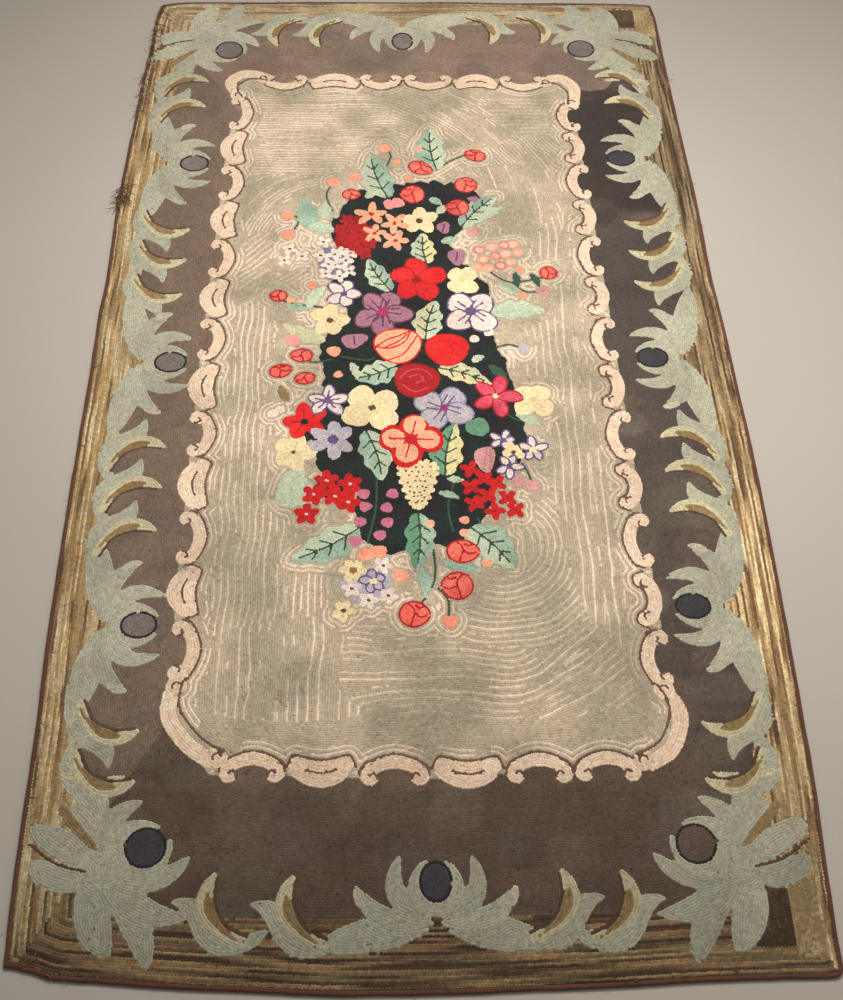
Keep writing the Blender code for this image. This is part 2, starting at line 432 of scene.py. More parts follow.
# Each side's line from end to end, its kinds of scroll, C and bracket, and their middles and half lengths
SCROLL_SIDES = [
    ("left", [(70, -31.6), (50, -32.3), (0, -33.4), (-40, -33.3), (-62, -32.2)], "BCBCBCBCBCBCB", [
        (60.6, 4.6), (51.2, 4.6), (42.0, 4.4), (32.8, 4.6), (23.6, 4.4), (14.6, 4.4), (5.6, 4.4),
        (-4.1, 4.8), (-13.5, 4.3), (-22.8, 4.8), (-32.4, 4.6), (-41.4, 4.4), (-50.8, 4.7)]),
    ("right", [(68, 29.6), (34, 30.6), (0, 31.7), (-40, 33.2), (-60, 33.6)], "BCBCBCBCBCBCB", [
        (60.4, 4.0), (51.8, 4.2), (42.9, 4.4), (33.9, 4.4), (24.6, 4.6), (15.4, 4.4), (5.8, 4.6),
        (-4.0, 4.6), (-13.7, 4.8), (-23.3, 4.4), (-32.9, 4.7), (-42.9, 4.6), (-52.3, 4.4)]),
    ("far", [(-30, 69.3), (0, 69.7), (30, 69.6)], "BCBBCB", [
        (-24.2, 4.2), (-14.6, 4.9), (-5.7, 3.9), (3.4, 4.6), (12.7, 4.4), (21.7, 4.4)]),
    ("near", [(-30, -67.6), (0, -68.5), (30, -67.9)], "BCBCBB", [
        (-22.4, 4.3), (-13.2, 4.6), (-3.4, 4.6), (6.4, 4.8), (16.0, 4.4), (25.2, 4.4)]),
]
# Each corner is one long C: its start, two points that it bends by, and its end
SCROLL_CORNERS = [
    [(-33.4, 66.4), (-34.6, 69.4), (-32.2, 71.8), (-28.8, 71.4)],
    [(26.6, 70.9), (29.4, 71.2), (31.6, 68.6), (31.4, 65.0)],
    [(34.6, -57.6), (35.9, -61.0), (34.2, -65.6), (30.6, -67.9)],
    [(-34.0, -56.8), (-34.2, -60.6), (-31.2, -64.8), (-27.6, -67.2)],
]
# A corner's half width and how far in its outline runs, then the knobs at its ends and their curls
CORNER_HALF = 1.1
CORNER_OUTLINE = 1.35
KNOB_SHIFT = (0.985, 0.99)
KNOB_RADIUS = 1.5
CURL_RADIUS = 0.6
CURL_POINTS = 18


def scroll_frame(side, path, centre):
    """The place and the two directions of a scroll: along its side, and out toward the band."""
    places, offsets = np.array(sorted(path)).T
    offset = np.interp(centre, places, offsets)
    if side in ("left", "right"):
        return (offset, centre), FAR, (LEFT if side == "left" else RIGHT)
    return (centre, offset), RIGHT, (FAR if side == "far" else NEAR)


def draw_scroll(kind, half, place, bulge):
    """One scroll: a C with its inside filled, but for a slit, or a bracket with an arched back."""
    k = half / SCROLL_HALF

    def stretched(points):
        return [(u * k, v) for u, v in points]

    if kind == "C":
        stroke = ((-3.5, -0.2), (0, 4.3 * bulge), (3.5, -0.2), (2.0, 2.0, 2.0))
        knob, knob_size = (2.9, -0.5), (1.35, 1.2)
        edge = [(-4.5, 0.0), (-3.7, -1.7), (-2.4, -1.6), (0, -1.1), (2.4, -1.6), (3.7, -1.7), (4.5, 0.0)]
        curls = [[(-2.0, 0.2), (-1.2, 0.6 * bulge), (0, 0.8 * bulge), (1.2, 0.6 * bulge), (2.0, 0.2)]]
        if bulge > OPEN_BULGE:
            paint("scroll", placed(ellipse(0, -0.1, 3.2 * k, 1.3), *place))
        else:
            outer = [(4.5, 0.0), (3.7, -1.6), (2.3, -1.5), (1.6, -0.5)]
            edge = [(-u, v) for u, v in outer] + [(0, 0.0)] + outer[::-1]
            curls = [[(m * 1.9, 0.3), (m * 2.4, -0.6), (m * 3.1, -0.4)] for m in (-1, 1)]
    else:
        stroke = ((-3.6, 0.2), (0, -2.4), (3.6, 0.2), (1.8, 1.9, 1.8))
        knob, knob_size = (3.2, 0.9), (1.25, 1.3)
        edge = [(-4.5, 0.8), (-3.7, -0.9), (0, -2.2), (3.7, -0.9), (4.5, 0.8)]
        curls = [[(m * 2.1, 1.4), (m * 2.6, 0.5), (m * 3.3, 0.9)] for m in (-1, 1)]
        paint("band", placed(ellipse(0, 1.5, 3.0 * k, 2.0), *place))
    paint("scroll", placed(stretched(lobe(*stroke)), *place))
    for mirror in (-1, 1):
        middle = stretched([(mirror * knob[0], knob[1])])[0]
        paint("scroll", placed(ellipse(*middle, *knob_size), *place))
    for path in [edge] + curls:
        line("scroll_outline", placed(curve(stretched(path)), *place), VEIN)


def draw_scroll_corner(points):
    path = curve(points)
    way = np.gradient(path, axis=0)
    normal = np.stack([-way[:, 1], way[:, 0]], 1) / np.hypot(*way.T)[:, None]
    paint("scroll", np.concatenate([path + normal * CORNER_HALF, (path - normal * CORNER_HALF)[::-1]]))
    for end in (points[0], points[-1]):
        x, y = np.multiply(end, KNOB_SHIFT)
        paint("scroll", ellipse(x, y, KNOB_RADIUS, KNOB_RADIUS))
        line("scroll_outline", ellipse(x, y, CURL_RADIUS, CURL_RADIUS)[:CURL_POINTS], OUTLINE)
    line("scroll_outline", path - np.sign(path) * CORNER_OUTLINE, FIRM)


# The bouquet: its dark ground, then leaves, flowers, buds and small bits


# The loose coral spray at the right: small rings
SPRAY = [
    (11.6, 25.8), (13.8, 26.6), (12.2, 23.6), (14.4, 24.4), (16.2, 24.9), (13.0, 21.6),
    (15.2, 22.2), (17.0, 23.0), (17.6, 27.2), (16.0, 27.0), (18.4, 25.4), (11.2, 21.8),
]
# The outline of the hanging cluster of white bells
BELLS = [
    (-2.2, -19.2), (0.3, -18.7), (2.8, -19.2), (3.1, -21), (2.4, -24), (1.3, -26.4), (0.3, -27.2),
    (-0.7, -26.4), (-1.8, -24), (-2.5, -21),
]
DARK_GROUND = [
    (-9.5, 40.2), (-6, 39.4), (-1.8, 42.3), (5, 42.6), (10.5, 40.6), (12.4, 37.2), (9.8, 32.2),
    (6.8, 27.6), (8.8, 22.8), (12.4, 18), (13.6, 11), (13, 6.4), (15.2, 0), (17.6, -11),
    (16.2, -19.6), (12.6, -22), (11, -28.4), (5, -34.2), (1, -32.4), (-3.2, -35.2), (-8.6, -32),
    (-9.6, -23), (-15, -20), (-16, -15), (-18.6, -13.4), (-14.6, -6), (-14.8, 0), (-15.4, 5.4),
    (-10.6, 10), (-14.2, 17.6), (-10.6, 22), (-14.4, 28.6), (-13.2, 34),
]
Leaf = namedtuple("Leaf", "base tip width left right")
LEAVES = [
    Leaf((4.6, 45.6), (3.5, 57.0), 5.2, "sage_leaf", "pale_leaf"),
    Leaf((-4.3, 38.4), (-7.6, 50.0), 5.4, "pale_leaf", "sage_leaf"),
    Leaf((8.6, 31.3), (15.3, 39.2), 4.5, "sage_leaf", "pale_leaf"),
    Leaf((12.0, 33.0), (16.4, 36.4), 1.8, "pale_leaf", "pale_leaf"),
    Leaf((2.4, 22.5), (1.8, 29.9), 4.2, "pale_leaf", "gold_leaf"),
    Leaf((-3.8, 16.3), (-7.8, 23.7), 4.0, "pale_leaf", "sage_leaf"),
    Leaf((1.9, 5.5), (3.8, 14.2), 4.8, "khaki", "pale_leaf"),
    Leaf((12.8, 11.6), (22.4, 12.0), 4.0, "pale_leaf", "pale_leaf"),
    Leaf((-2.8, 0.2), (-9.8, -2.6), 4.6, "sage_leaf", "pale_leaf"),
    Leaf((3.8, -0.3), (12.4, -3.6), 3.6, "khaki", "gold_leaf"),
    Leaf((4.5, -21.5), (6.3, -11.4), 5.0, "emerald", "gold_leaf"),
    Leaf((-7.8, -12.8), (-5.2, -22.4), 4.8, "pale_leaf", "sage_leaf"),
    Leaf((-8.5, -30.6), (-18.8, -36.4), 5.2, "sage_leaf", "pale_leaf"),
    Leaf((0.2, -28.0), (-0.2, -38.0), 4.4, "sage_leaf", "emerald"),
    Leaf((8.0, -30.6), (14.4, -37.8), 6.0, "sage_leaf", "pale_leaf"),
    Leaf((-17.4, 30.6), (-19.4, 38.4), 3.8, "sage_leaf", "sage_leaf"),
    Leaf((-18.6, 31.2), (-13.4, 30.2), 2.6, "pale_leaf", "pale_leaf"),
    Leaf((-15.0, 33.0), (-15.6, 37.4), 2.6, "pale_leaf", "pale_leaf"),
    Leaf((-14.6, 5.2), (-22.0, 9.0), 3.0, "khaki", "khaki"),
    Leaf((-20.2, -7.2), (-21.8, -3.8), 1.5, "olive", "olive"),
    Leaf((-17.4, -19.6), (-21.4, -25.4), 3.2, "pale_leaf", "pale_leaf"),
    Leaf((14.6, 17.6), (18.0, 15.4), 1.6, "sage_leaf", "pale_leaf"),
    Leaf((-17.8, 12.6), (-15.0, 17.4), 2.2, "pale_leaf", "pale_leaf"),
    Leaf((-21.6, 12.6), (-17.6, 12.2), 1.6, "sage_leaf", "sage_leaf"),
    Leaf((17.4, 20.6), (17.9, 17.2), 1.3, "dark_green", "dark_green"),
    Leaf((20.2, 20.4), (21.6, 17.2), 1.3, "dark_green", "dark_green"),
    Leaf((12.2, 0.4), (15.2, -3.6), 1.8, "dark_green", "dark_green"),
    Leaf((3.6, -36.6), (9.6, -38.4), 1.8, "sage_leaf", "sage_leaf"),
    Leaf((0.6, -37.4), (1.2, -43.0), 1.8, "sage_leaf", "sage_leaf"),
    Leaf((16.0, -9.4), (20.0, -12.0), 1.8, "pale_leaf", "pale_leaf"),
    Leaf((-8.4, 38.4), (-6.0, 40.4), 1.6, "pale_leaf", "pale_leaf"),
    Leaf((3.0, 38.4), (5.4, 36.8), 1.6, "sage_leaf", "sage_leaf"),
    Leaf((4.4, 34.6), (6.6, 36.8), 1.6, "pale_leaf", "pale_leaf"),
    Leaf((5.0, 27.6), (8.0, 28.6), 1.6, "sage_leaf", "sage_leaf"),
    Leaf((-10.4, 0.8), (-9.2, -2.8), 1.4, "pale_leaf", "pale_leaf"),
    Leaf((9.4, 1.0), (11.6, 2.2), 1.4, "pale_leaf", "pale_leaf"),
    Leaf((4.8, -22.0), (7.6, -22.4), 1.2, "pale_leaf", "pale_leaf"),
    Leaf((3.4, -24.4), (6.8, -25.6), 1.2, "sage_leaf", "sage_leaf"),
]
# The dark stems, each a smooth row through a few points
STEMS = [
    [(5.0, 46.0), (7.4, 48.2), (10.6, 50.0)],
    [(-4.6, 46.6), (-3.8, 49.4), (-4.8, 51.0)],
    [(-14.0, 34.6), (-15.4, 39.0), (-14.4, 41.6)],
    [(-20.8, 30.6), (-20.0, 33.0), (-21.4, 34.0)],
    [(12.6, 21.4), (16.4, 18.4), (22.4, 19.4)],
    [(17.0, 18.2), (19.2, 16.2), (22.0, 16.2)],
    [(-22.0, 14.0), (-19.6, 13.2), (-15.4, 12.6)],
    [(-12.0, 2.0), (-8.0, 1.2), (-6.4, 1.8)],
    [(-20.0, 2.2), (-16.6, 0.8), (-13.6, 1.4)],
    [(14.0, -9.0), (16.5, -10.8), (18.4, -9.0)],
    [(6.0, -22.0), (4.8, -27.0), (5.5, -31.4)],
    [(-6.0, -21.6), (-6.2, -27.6), (-7.4, -33.4)],
    [(2.4, -33.6), (2.5, -39.6), (0.4, -43.6)],
    [(3.0, -41.0), (4.4, -43.0), (4.4, -45.6)],
    [(16.5, -19.0), (17.4, -21.0), (17.8, -23.0)],
    [(13.4, 4.0), (15.8, 4.6), (17.6, 3.9)],
    [(9.2, -29.0), (10.6, -33.0), (10.4, -36.4)],
]
Flower = namedtuple("Flower", "x y radius petals turn yarn heart heart_size rim rays inner plump",
                    defaults=[None, None, None, 1.0])
FLOWERS = [
    Flower(1.2, 32.8, 3.2, 5, 20, "cream", "brown", 0.20),
    Flower(8.4, 18.8, 3.2, 4, 45, "cream", "gold_leaf", 0.20),
    Flower(-14.0, 9.7, 3.3, 5, 10, "cream", "brown", 0.18, rays="gold_leaf"),
    Flower(-6.8, -8.4, 4.7, 4, 35, "cream", "brown", 0.13, rays="gold_leaf"),
    Flower(18.9, -6.8, 3.5, 4, 45, "cream", "gold_leaf", 0.18, rays="gold_leaf"),
    Flower(-19.0, -17.0, 3.4, 5, 0, "cream", "brown", 0.12, rays="gold_leaf"),
    Flower(0.6, 18.9, 4.8, 5, 90, "scarlet", "deep_red", 0.17, rim="crimson", plump=0.95),
    Flower(-17.5, -11.2, 3.6, 5, 30, "scarlet", "black", 0.17, rays="crimson", plump=0.9),
    Flower(13.0, -6.0, 4.0, 5, 70, "hot_pink", "cream", 0.13, rim="crimson", plump=0.7),
    Flower(-5.2, 11.6, 4.9, 5, 60, "mauve", "magenta", 0.18, rim="plum", rays="plum", plump=0.95),
    Flower(9.6, 11.8, 4.8, 4, 45, "white", "purple", 0.20, rim="purple", rays="purple", plump=0.95),
    Flower(4.6, -8.4, 4.6, 4, 60, "lavender", "magenta", 0.13, rim="slate", rays="purple", plump=0.95),
    Flower(-11.8, 15.6, 3.0, 5, 70, "white", "purple", 0.20, rim="purple", plump=0.9),
    Flower(-14.0, -7.0, 3.2, 5, 90, "white", "purple", 0.16, rim="purple", rays="purple", plump=0.75),
    Flower(-12.9, -14.6, 3.7, 6, 90, "lavender", "purple", 0.24, plump=0.85),
    Flower(-0.7, -14.5, 4.9, 4, 82, "red", "crimson", 0.14, inner="peach", plump=1.05),
    Flower(13.7, -14.7, 2.0, 5, 0, "white", "purple", 0.26, rim="purple", plump=0.7),
    Flower(15.3, -17.0, 1.9, 5, 40, "cream", "brown", 0.20, plump=0.9),
    Flower(18.4, -16.4, 2.3, 5, 20, "white", "cream", 0.26, rim="purple", plump=0.7),
    Flower(14.5, -19.6, 2.2, 5, 60, "white", "purple", 0.24, rim="purple", plump=0.7),
    Flower(-7.3, 34.4, 2.9, 5, 90, "peach", "crimson", 0.16, rays="salmon", plump=0.62),
    Flower(-3.2, 32.2, 2.6, 5, 50, "peach", "crimson", 0.16, rays="salmon", plump=0.62),
    Flower(-6.6, 29.8, 2.2, 5, 10, "peach", "crimson", 0.18, rays="salmon", plump=0.62),
    Flower(-3.0, 28.0, 2.5, 5, 70, "salmon", "crimson", 0.16, plump=0.65),
    Flower(-9.4, -38.0, 2.0, 6, 0, "cream", "olive", 0.30, plump=0.95),
    Flower(-6.4, -39.8, 1.9, 5, 30, "lavender", "cream", 0.26, rim="purple", plump=0.9),
    Flower(-10.7, -44.6, 1.8, 5, 60, "cream", "brown", 0.20, plump=0.85),
]
Rose = namedtuple("Rose", "x y radius yarn rim swirl folds")
ROSES = [
    Rose(5.4, 3.6, 3.5, "scarlet", "red", "red", [
        [(-0.7, 0.3), (-0.1, 0.55), (0.5, 0.4)], [(-0.5, -0.5), (0.1, -0.2), (0.7, -0.4)]]),
    Rose(0.3, -2.8, 3.6, "crimson", "deep_red", "rose_red", [
        [(-0.75, 0.1), (-0.3, 0.55), (0.35, 0.55), (0.72, 0.15)],
        [(-0.35, 0.15), (0.1, 0.3), (0.3, 0.0), (-0.05, -0.2)],
        [(-0.65, -0.25), (-0.1, -0.65), (0.6, -0.4)]]),
    Rose(-2.7, 4.4, 3.9, "peach", "scarlet", "scarlet", [
        [(-0.92, -0.1), (-0.3, -0.15), (0.3, 0.2), (0.55, 0.8)],
        [(-0.92, -0.1), (-0.45, 0.3), (0.1, 0.55), (0.55, 0.8)],
        [(-0.5, -0.1), (0.0, 0.2), (0.4, 0.6)], [(-0.4, -0.8), (0.2, -0.5), (0.6, 0.1), (0.8, 0.5)]]),
]
Bud = namedtuple("Bud", "x y width height tilt")
BUDS = [
    Bud(11.8, 49.5, 3.8, 2.9, -20),
    Bud(1.5, 46.2, 4.4, 3.3, -25),
    Bud(0.2, 39.4, 4.2, 4.5, 0),
    Bud(9.7, 41.8, 4.0, 3.9, 0),
    Bud(8.2, 36.1, 4.0, 4.0, 0),
    Bud(-11.0, 39.3, 3.1, 2.5, 0),
    Bud(-22.8, 15.1, 2.8, 2.5, 0),
    Bud(23.3, 20.5, 2.9, 2.9, 0),
    Bud(-18.4, 2.2, 3.5, 2.8, 0),
    Bud(-21.8, -1.0, 3.6, 2.7, 15),
    Bud(-17.7, -2.5, 3.2, 2.4, 10),
    Bud(6.7, -34.8, 4.7, 4.0, 0),
    Bud(5.9, -40.6, 4.5, 4.6, 0),
    Bud(-0.6, -45.2, 4.3, 4.2, 0),
]
# Small things that repeat: round buds where there are no petals, or else little open florets
Spot = namedtuple("Spot", "yarn radius petals dot places")
SPOTS = [
    Spot("salmon", 1.15, 0, None, [
        (-5, 51.3), (-14.2, 42.4), (-10.4, 43.8), (-22.1, 33.9), (-21.9, 29.2), (-7.6, -35.4),
        (-5.6, -34.8), (-2.4, -38.9), (4.6, -46.4), (-13.2, 3.1)]),
    Spot("salmon", 0.75, 0, None, [
        (-2.6, 47.8), (1.3, 51.2), (-0.6, 43.6), (-17.2, 17.5), (-20.7, 14.2), (18.5, 15.4),
        (18.4, 21.2), (-12.4, -1.7), (7.2, -29.4), (7.1, -31.6), (10.4, -36.8), (2.0, -30.0)]),
    Spot("dusky", 1.2, 0, None, [(10.8, 30.2), (17.9, -23.2), (15.8, -22.6), (22.2, 16.2)]),
    Spot("pink", 1.3, 0, None, [(-3.9, 36.9), (-2.7, 37.2), (-20.0, 5.4)]),
    Spot("white", 1.28, 4, "brown", [
        (-15.6, 27.6), (-12.7, 25.2), (-16.0, 24.4), (-13.4, 22.3), (-11.0, 20.8), (-15.0, 20.2),
        (-21.4, 25.9), (-19.2, 24.2), (-22.2, 23.2), (-13.6, 24.7), (-11.6, 23.2), (-14.6, 22.4),
        (-12.6, 19.6), (-10.8, 25.0)]),
    Spot("white", 1.3, 5, "brown", [(-4.2, -42.2), (-7.1, -42.9), (-9.6, -41.0), (-5, -37.2)]),
    Spot("white", 0.85, 0, None, [(-21.4, -8.8), (-22.6, -9.6), (10.0, 5.8), (12.4, 7.2)]),
    Spot("crimson", 1.25, 5, "deep_red", [
        (-11.6, 33.0), (-12.6, 30.6), (-10.4, 30.8), (-11.6, 28.4), (-9.4, 28.6), (-8.2, 30.6),
        (-10.0, 26.4), (-7.6, 27.2), (-8.4, 24.9)]),
    Spot("red", 1.75, 5, "white", [
        (-13.7, -22.3), (-10.1, -22.9), (-12.4, -25.1), (-15.6, -24.8), (-16.6, -28.3),
        (-10.3, -26.2)]),
    Spot("red", 1.45, 4, "crimson", [
        (8.4, -20.2), (10.4, -21.8), (8.4, -23.4), (12.4, -22.8), (10.9, -25.0), (13.9, -25.4),
        (8.8, -26.4), (11.9, -27.8), (15.0, -27.6)]),
    Spot("berry", 0.95, 0, None, [
        (-8, -24.7), (-3.6, -24.7), (-7.7, -27), (-4.5, -27.2), (-8.5, -29.7), (-4.4, -29.8),
        (-5.5, -32), (-9.2, -33)]),
    Spot("emerald", 1.9, 0, None, [(9.9, -12.2)]),
]
# Soft patches of ground under the clusters
PATCHES = [
    ("slate", (-13.6, 22.8, 3.0, 3.8)),
    ("deep_red", (-10.2, 28.9, 3.2, 4.6)),
    ("pale_leaf", (-18.6, -24.0, 2.8, 3.4)),
    ("black", (-12.0, -23.4, 3.0, 2.6)),
    ("lavender", (-7.4, -40.6, 3.6, 3.0)),
]
# Tulip-like buds: a pale cup with a darker centre row
Tulip = namedtuple("Tulip", "x y width height tilt yarn centre")
TULIPS = [
    Tulip(7.6, 24.2, 3.0, 3.8, 0, "mauve", "plum"),
    Tulip(-9.9, 5.4, 4.4, 3.0, 15, "mauve", "plum"),
    Tulip(10.8, -18.2, 3.2, 4.8, 0, "dusky", "berry"),
    Tulip(5.5, 31.2, 2.3, 2.8, 0, "mauve", "plum"),
    Tulip(11.0, 38.2, 2.0, 1.5, 0, "mauve", "plum"),
    Tulip(18.1, 3.8, 1.6, 2.4, 0, "lavender", "purple"),
]


# How a leaf bends, the depth and number of its teeth, how far its veins reach, and where small leaves
# lose some or all of them
LEAF_BOW = 0.05
LEAF_TEETH = (0.13, 3.5)
VEIN_REACH = 0.66
VEINLESS_WIDTH, SMALL_WIDTH = 2.4, 3.2


def draw_leaf(leaf):
    base, tip = np.array(leaf.base), np.array(leaf.tip)
    way = tip - base
    normal = np.array([-way[1], way[0]]) / np.hypot(*way)
    t = np.linspace(0, 1, 25)
    bow = LEAF_BOW * np.hypot(*way) * np.sin(math.pi * t)
    spine = base + t[:, None] * way + bow[:, None] * normal
    toothed = 1 + LEAF_TEETH[0] * np.sin(2 * math.pi * LEAF_TEETH[1] * t)
    half = (leaf.width / 2 * np.sin(math.pi * t ** 0.8) ** 0.8 * toothed)[:, None]
    for yarn, edge in ((leaf.left, spine + half * normal), (leaf.right, spine - half * normal)):
        paint(yarn, np.concatenate([spine, edge[::-1]]))
    if leaf.width < VEINLESS_WIDTH or leaf.right == leaf.left:
        return
    line("vein", spine[:-3], OUTLINE)
    for start in (5, 10, 15) if leaf.width > SMALL_WIDTH else (7, 13):
        for sign in (1, -1):
            end = spine[start + 3] + sign * VEIN_REACH * half[start + 3] * normal
            line("vein", [spine[start], end], VEIN)


# A floret's petals, in shares of its radius: how far out they stand, their half length and half width
FLORET_PLACE, FLORET_HALF, FLORET_WIDE = 0.62, 0.52, 0.37
DOT_RADIUS = 0.26
ROUND_BUD, ROUND_WOBBLE = 0.92, 0.08


def draw_spot(spot, x, y):
    if not spot.petals:
        paint(spot.yarn, ellipse(x, y, spot.radius, spot.radius * ROUND_BUD, 0, ROUND_WOBBLE))
        return
    turn = (37 * x + 61 * y) % 90
    for k in range(spot.petals):
        angle = turn + 360 * k / spot.petals
        petal = (x, y) + spot.radius * FLORET_PLACE * heading(angle)
        paint(spot.yarn, ellipse(*petal, spot.radius * FLORET_HALF, spot.radius * FLORET_WIDE, angle))
    paint(spot.dot, ellipse(x, y, DOT_RADIUS, DOT_RADIUS))


# A flower's petals, in shares of its radius: how far out they stand, their half length and half width
PETAL_PLACE, PETAL_HALF, PETAL_WIDE = 0.56, 0.47, 1.22
PETAL_INNER = (0.37, 0.72)
RAY_REACH, INNER_RAY_REACH, RAY_APART = 1.15, 1.3, 0.13
WIDE_FLOWER = 4


def draw_flower(flower):
    reach = PETAL_PLACE * flower.radius
    wide = reach * math.sin(math.pi / flower.petals) * PETAL_WIDE * flower.plump
    petals = []
    middle = np.array([flower.x, flower.y])
    for k in range(flower.petals):
        turn = flower.turn + 360 * k / flower.petals + 7 * math.sin(3 * k + flower.x)
        out = heading(turn)
        size = 1 + 0.08 * math.sin(5 * k + flower.y)
        petals.append((turn, out))
        petal = ellipse(*(middle + out * reach * size), PETAL_HALF * flower.radius * size, wide, turn, 0.06)
        paint(flower.yarn, petal)
        if flower.rim:
            line(flower.rim, petal, OUTLINE)
    for turn, out in petals if flower.inner else []:
        place = middle + out * reach
        paint(flower.inner, ellipse(*place, PETAL_INNER[0] * flower.radius, wide * PETAL_INNER[1], turn))
        line("red", [middle, middle + out * reach * INNER_RAY_REACH], OUTLINE)
    for turn, out in petals if flower.rays else []:
        side = np.array([-out[1], out[0]]) * RAY_APART * flower.radius
        line(flower.rays, [middle, middle + out * reach * RAY_REACH], VEIN)
        if flower.radius > WIDE_FLOWER:
            line(flower.rays, [middle + side, middle + out * reach + side * 1.8], VEIN)
    heart = flower.radius * flower.heart_size
    paint(flower.heart, ellipse(flower.x, flower.y, heart, heart))


def draw_rose(rose):
    whole = ellipse(rose.x, rose.y, rose.radius, rose.radius * 0.94, 0, 0.05)
    paint(rose.yarn, whole)
    line(rose.rim, whole, OUTLINE)
    for path in rose.folds:
        places = [(rose.x + rose.radius * u, rose.y + rose.radius * v) for u, v in path]
        line(rose.swirl, curve(places), OUTLINE)


# The folds of a bud, in shares of its half width and half height
BUD_FOLDS = [
    [(-0.35, 0.85), (0.05, 0.25), (-0.2, -0.85)],
    [(0.04, 0.12), (0.5, -0.22), (0.92, -0.05)],
    [(0.10, 0.66), (0.40, 0.48), (0.66, 0.56)],
]
# How far a bud's tip stands out, where its rim runs, and from which width it has all its folds
BUD_POINT = 0.14
BUD_RIM = 0.96
WIDE_BUD = 3.5


def draw_bud(bud, mirror):
    angle = np.linspace(0, 2 * math.pi, 32, endpoint=False)
    c, s = heading(bud.tilt)

    def laid(u, v):
        u, v = mirror * np.asarray(u) * bud.width / 2, np.asarray(v) * bud.height / 2
        return np.stack([bud.x + u * c - v * s, bud.y + u * s + v * c], -1)

    point = 1 + BUD_POINT * np.maximum(np.cos(angle), 0) ** 5
    paint("coral", laid(np.cos(angle) * point, np.sin(angle)))
    line("crimson", laid(np.cos(angle) * point * BUD_RIM, np.sin(angle) * BUD_RIM), OUTLINE)
    for fold in BUD_FOLDS[:3 if bud.width > WIDE_BUD else 2]:
        line("crimson", curve(laid(*np.array(fold).T)), HAIR)


def draw_tulip(tulip):
    paint(tulip.yarn, ellipse(tulip.x, tulip.y, tulip.width / 2, tulip.height / 2, tulip.tilt, 0.12))
    if tulip.height > 2.4:
        reach = heading(tulip.tilt + 80) * (tulip.height * 0.3)
        middle = np.array([tulip.x, tulip.y])
        line(tulip.centre, [middle - reach, middle + reach], BOLD)


# The bells: every third point of their outline bears one, and rows of brown dots narrow downward
BELL_EVERY, BELL_SIZE = 3, (0.5, 0.45)
DOT_ROWS, DOT_STEPS = 8, (-1.5, -0.5, 0.5, 1.5)
DOT_SHIFT = 0.25


def draw_bells():
    """A hanging cluster of white bells, dotted with brown."""
    bells = curve(BELLS, True)
    paint("cream", bells)
    for x, y in bells[::BELL_EVERY]:
        paint("cream", ellipse(x, y, *BELL_SIZE))
    for k in range(DOT_ROWS):
        for step in DOT_STEPS:
            x, y = 0.3 + (step + DOT_SHIFT * (-1) ** k) * (1.25 - 0.12 * k), -19.8 - 0.9 * k
            x, y = (x, y) + noise_source.uniform(-DOT_SHIFT, DOT_SHIFT, 2)
            line("brown", [(x - 0.15, y), (x + 0.15, y + 0.05)], HAIR)


def draw_bouquet():
    ground = curve(DARK_GROUND, True)
    paint("black", ground + noise_source.normal(0, 0.25, ground.shape))
    for stem in STEMS:
        line("dark_green", curve(stem))
    for leaf in LEAVES:
        draw_leaf(leaf)
    for yarn, patch in PATCHES:
        paint(yarn, ellipse(*patch, 0, 0.10))
    for spot in SPOTS:
        for x, y in spot.places:
            draw_spot(spot, x, y)
    for tulip in TULIPS:
        draw_tulip(tulip)
    for k, (x, y) in enumerate(SPRAY):
        ring = ellipse(x, y, 0.85, 0.75)
        paint("blush", ring)
        line("salmon" if k % 3 else "coral", ring, OUTLINE)
    draw_bells()
    for flower in FLOWERS:
        draw_flower(flower)
    for rose in ROSES:
        draw_rose(rose)
    for k, bud in enumerate(BUDS):
        draw_bud(bud, 1 if k % 2 else -1)


# Plain blocks hooked into the streaked edge at two corners
CORNER_BLOCKS = [
    ("umber", [(41.4, -84.4), (46.6, -84.4), (46.6, -91.6), (41.4, -91.6)]),
    ("straw", [(46.6, -80.0), (50.4, -80.0), (50.4, -93.0), (46.6, -93.0)]),
    ("umber", [(39.0, 86.8), (45.5, 86.8), (45.5, 92.6), (39.0, 92.6)]),
    ("straw", [(45.5, 84.0), (49.6, 84.0), (49.6, 92.6), (45.5, 92.6)]),
]


def draw_pattern():
    global group
    group = "band"
    paint("band", BAND_CORNERS)
    for yarn, block in CORNER_BLOCKS:
        paint(yarn, block)
    group = "border"
    for link in LINKS:
        paint("sage", placed(curve(LEAF_OUTLINE, True), *link))
    for place in EYE_PLACES:
        draw_eye(*place)
    for corner in CORNERS:
        draw_corner(corner)
    for link in LINKS:
        draw_link_crescent(link)
    group = "field"
    paint("field", FIELD_CORNERS)
    group = "band"
    for side, path, kinds, scrolls in SCROLL_SIDES:
        for kind, (centre, half) in zip(kinds, scrolls):
            draw_scroll(kind, half, scroll_frame(side, path, centre), SCROLL_BULGE[side])
    for points in SCROLL_CORNERS:
        draw_scroll_corner(points)
    group = "bouquet"
    draw_bouquet()


# How the rows of the band and of the plain field run: zones, each with a guide that its rows keep parallel
# to. Some of the field's rows are lighter: every so many of them, over a share of their length.


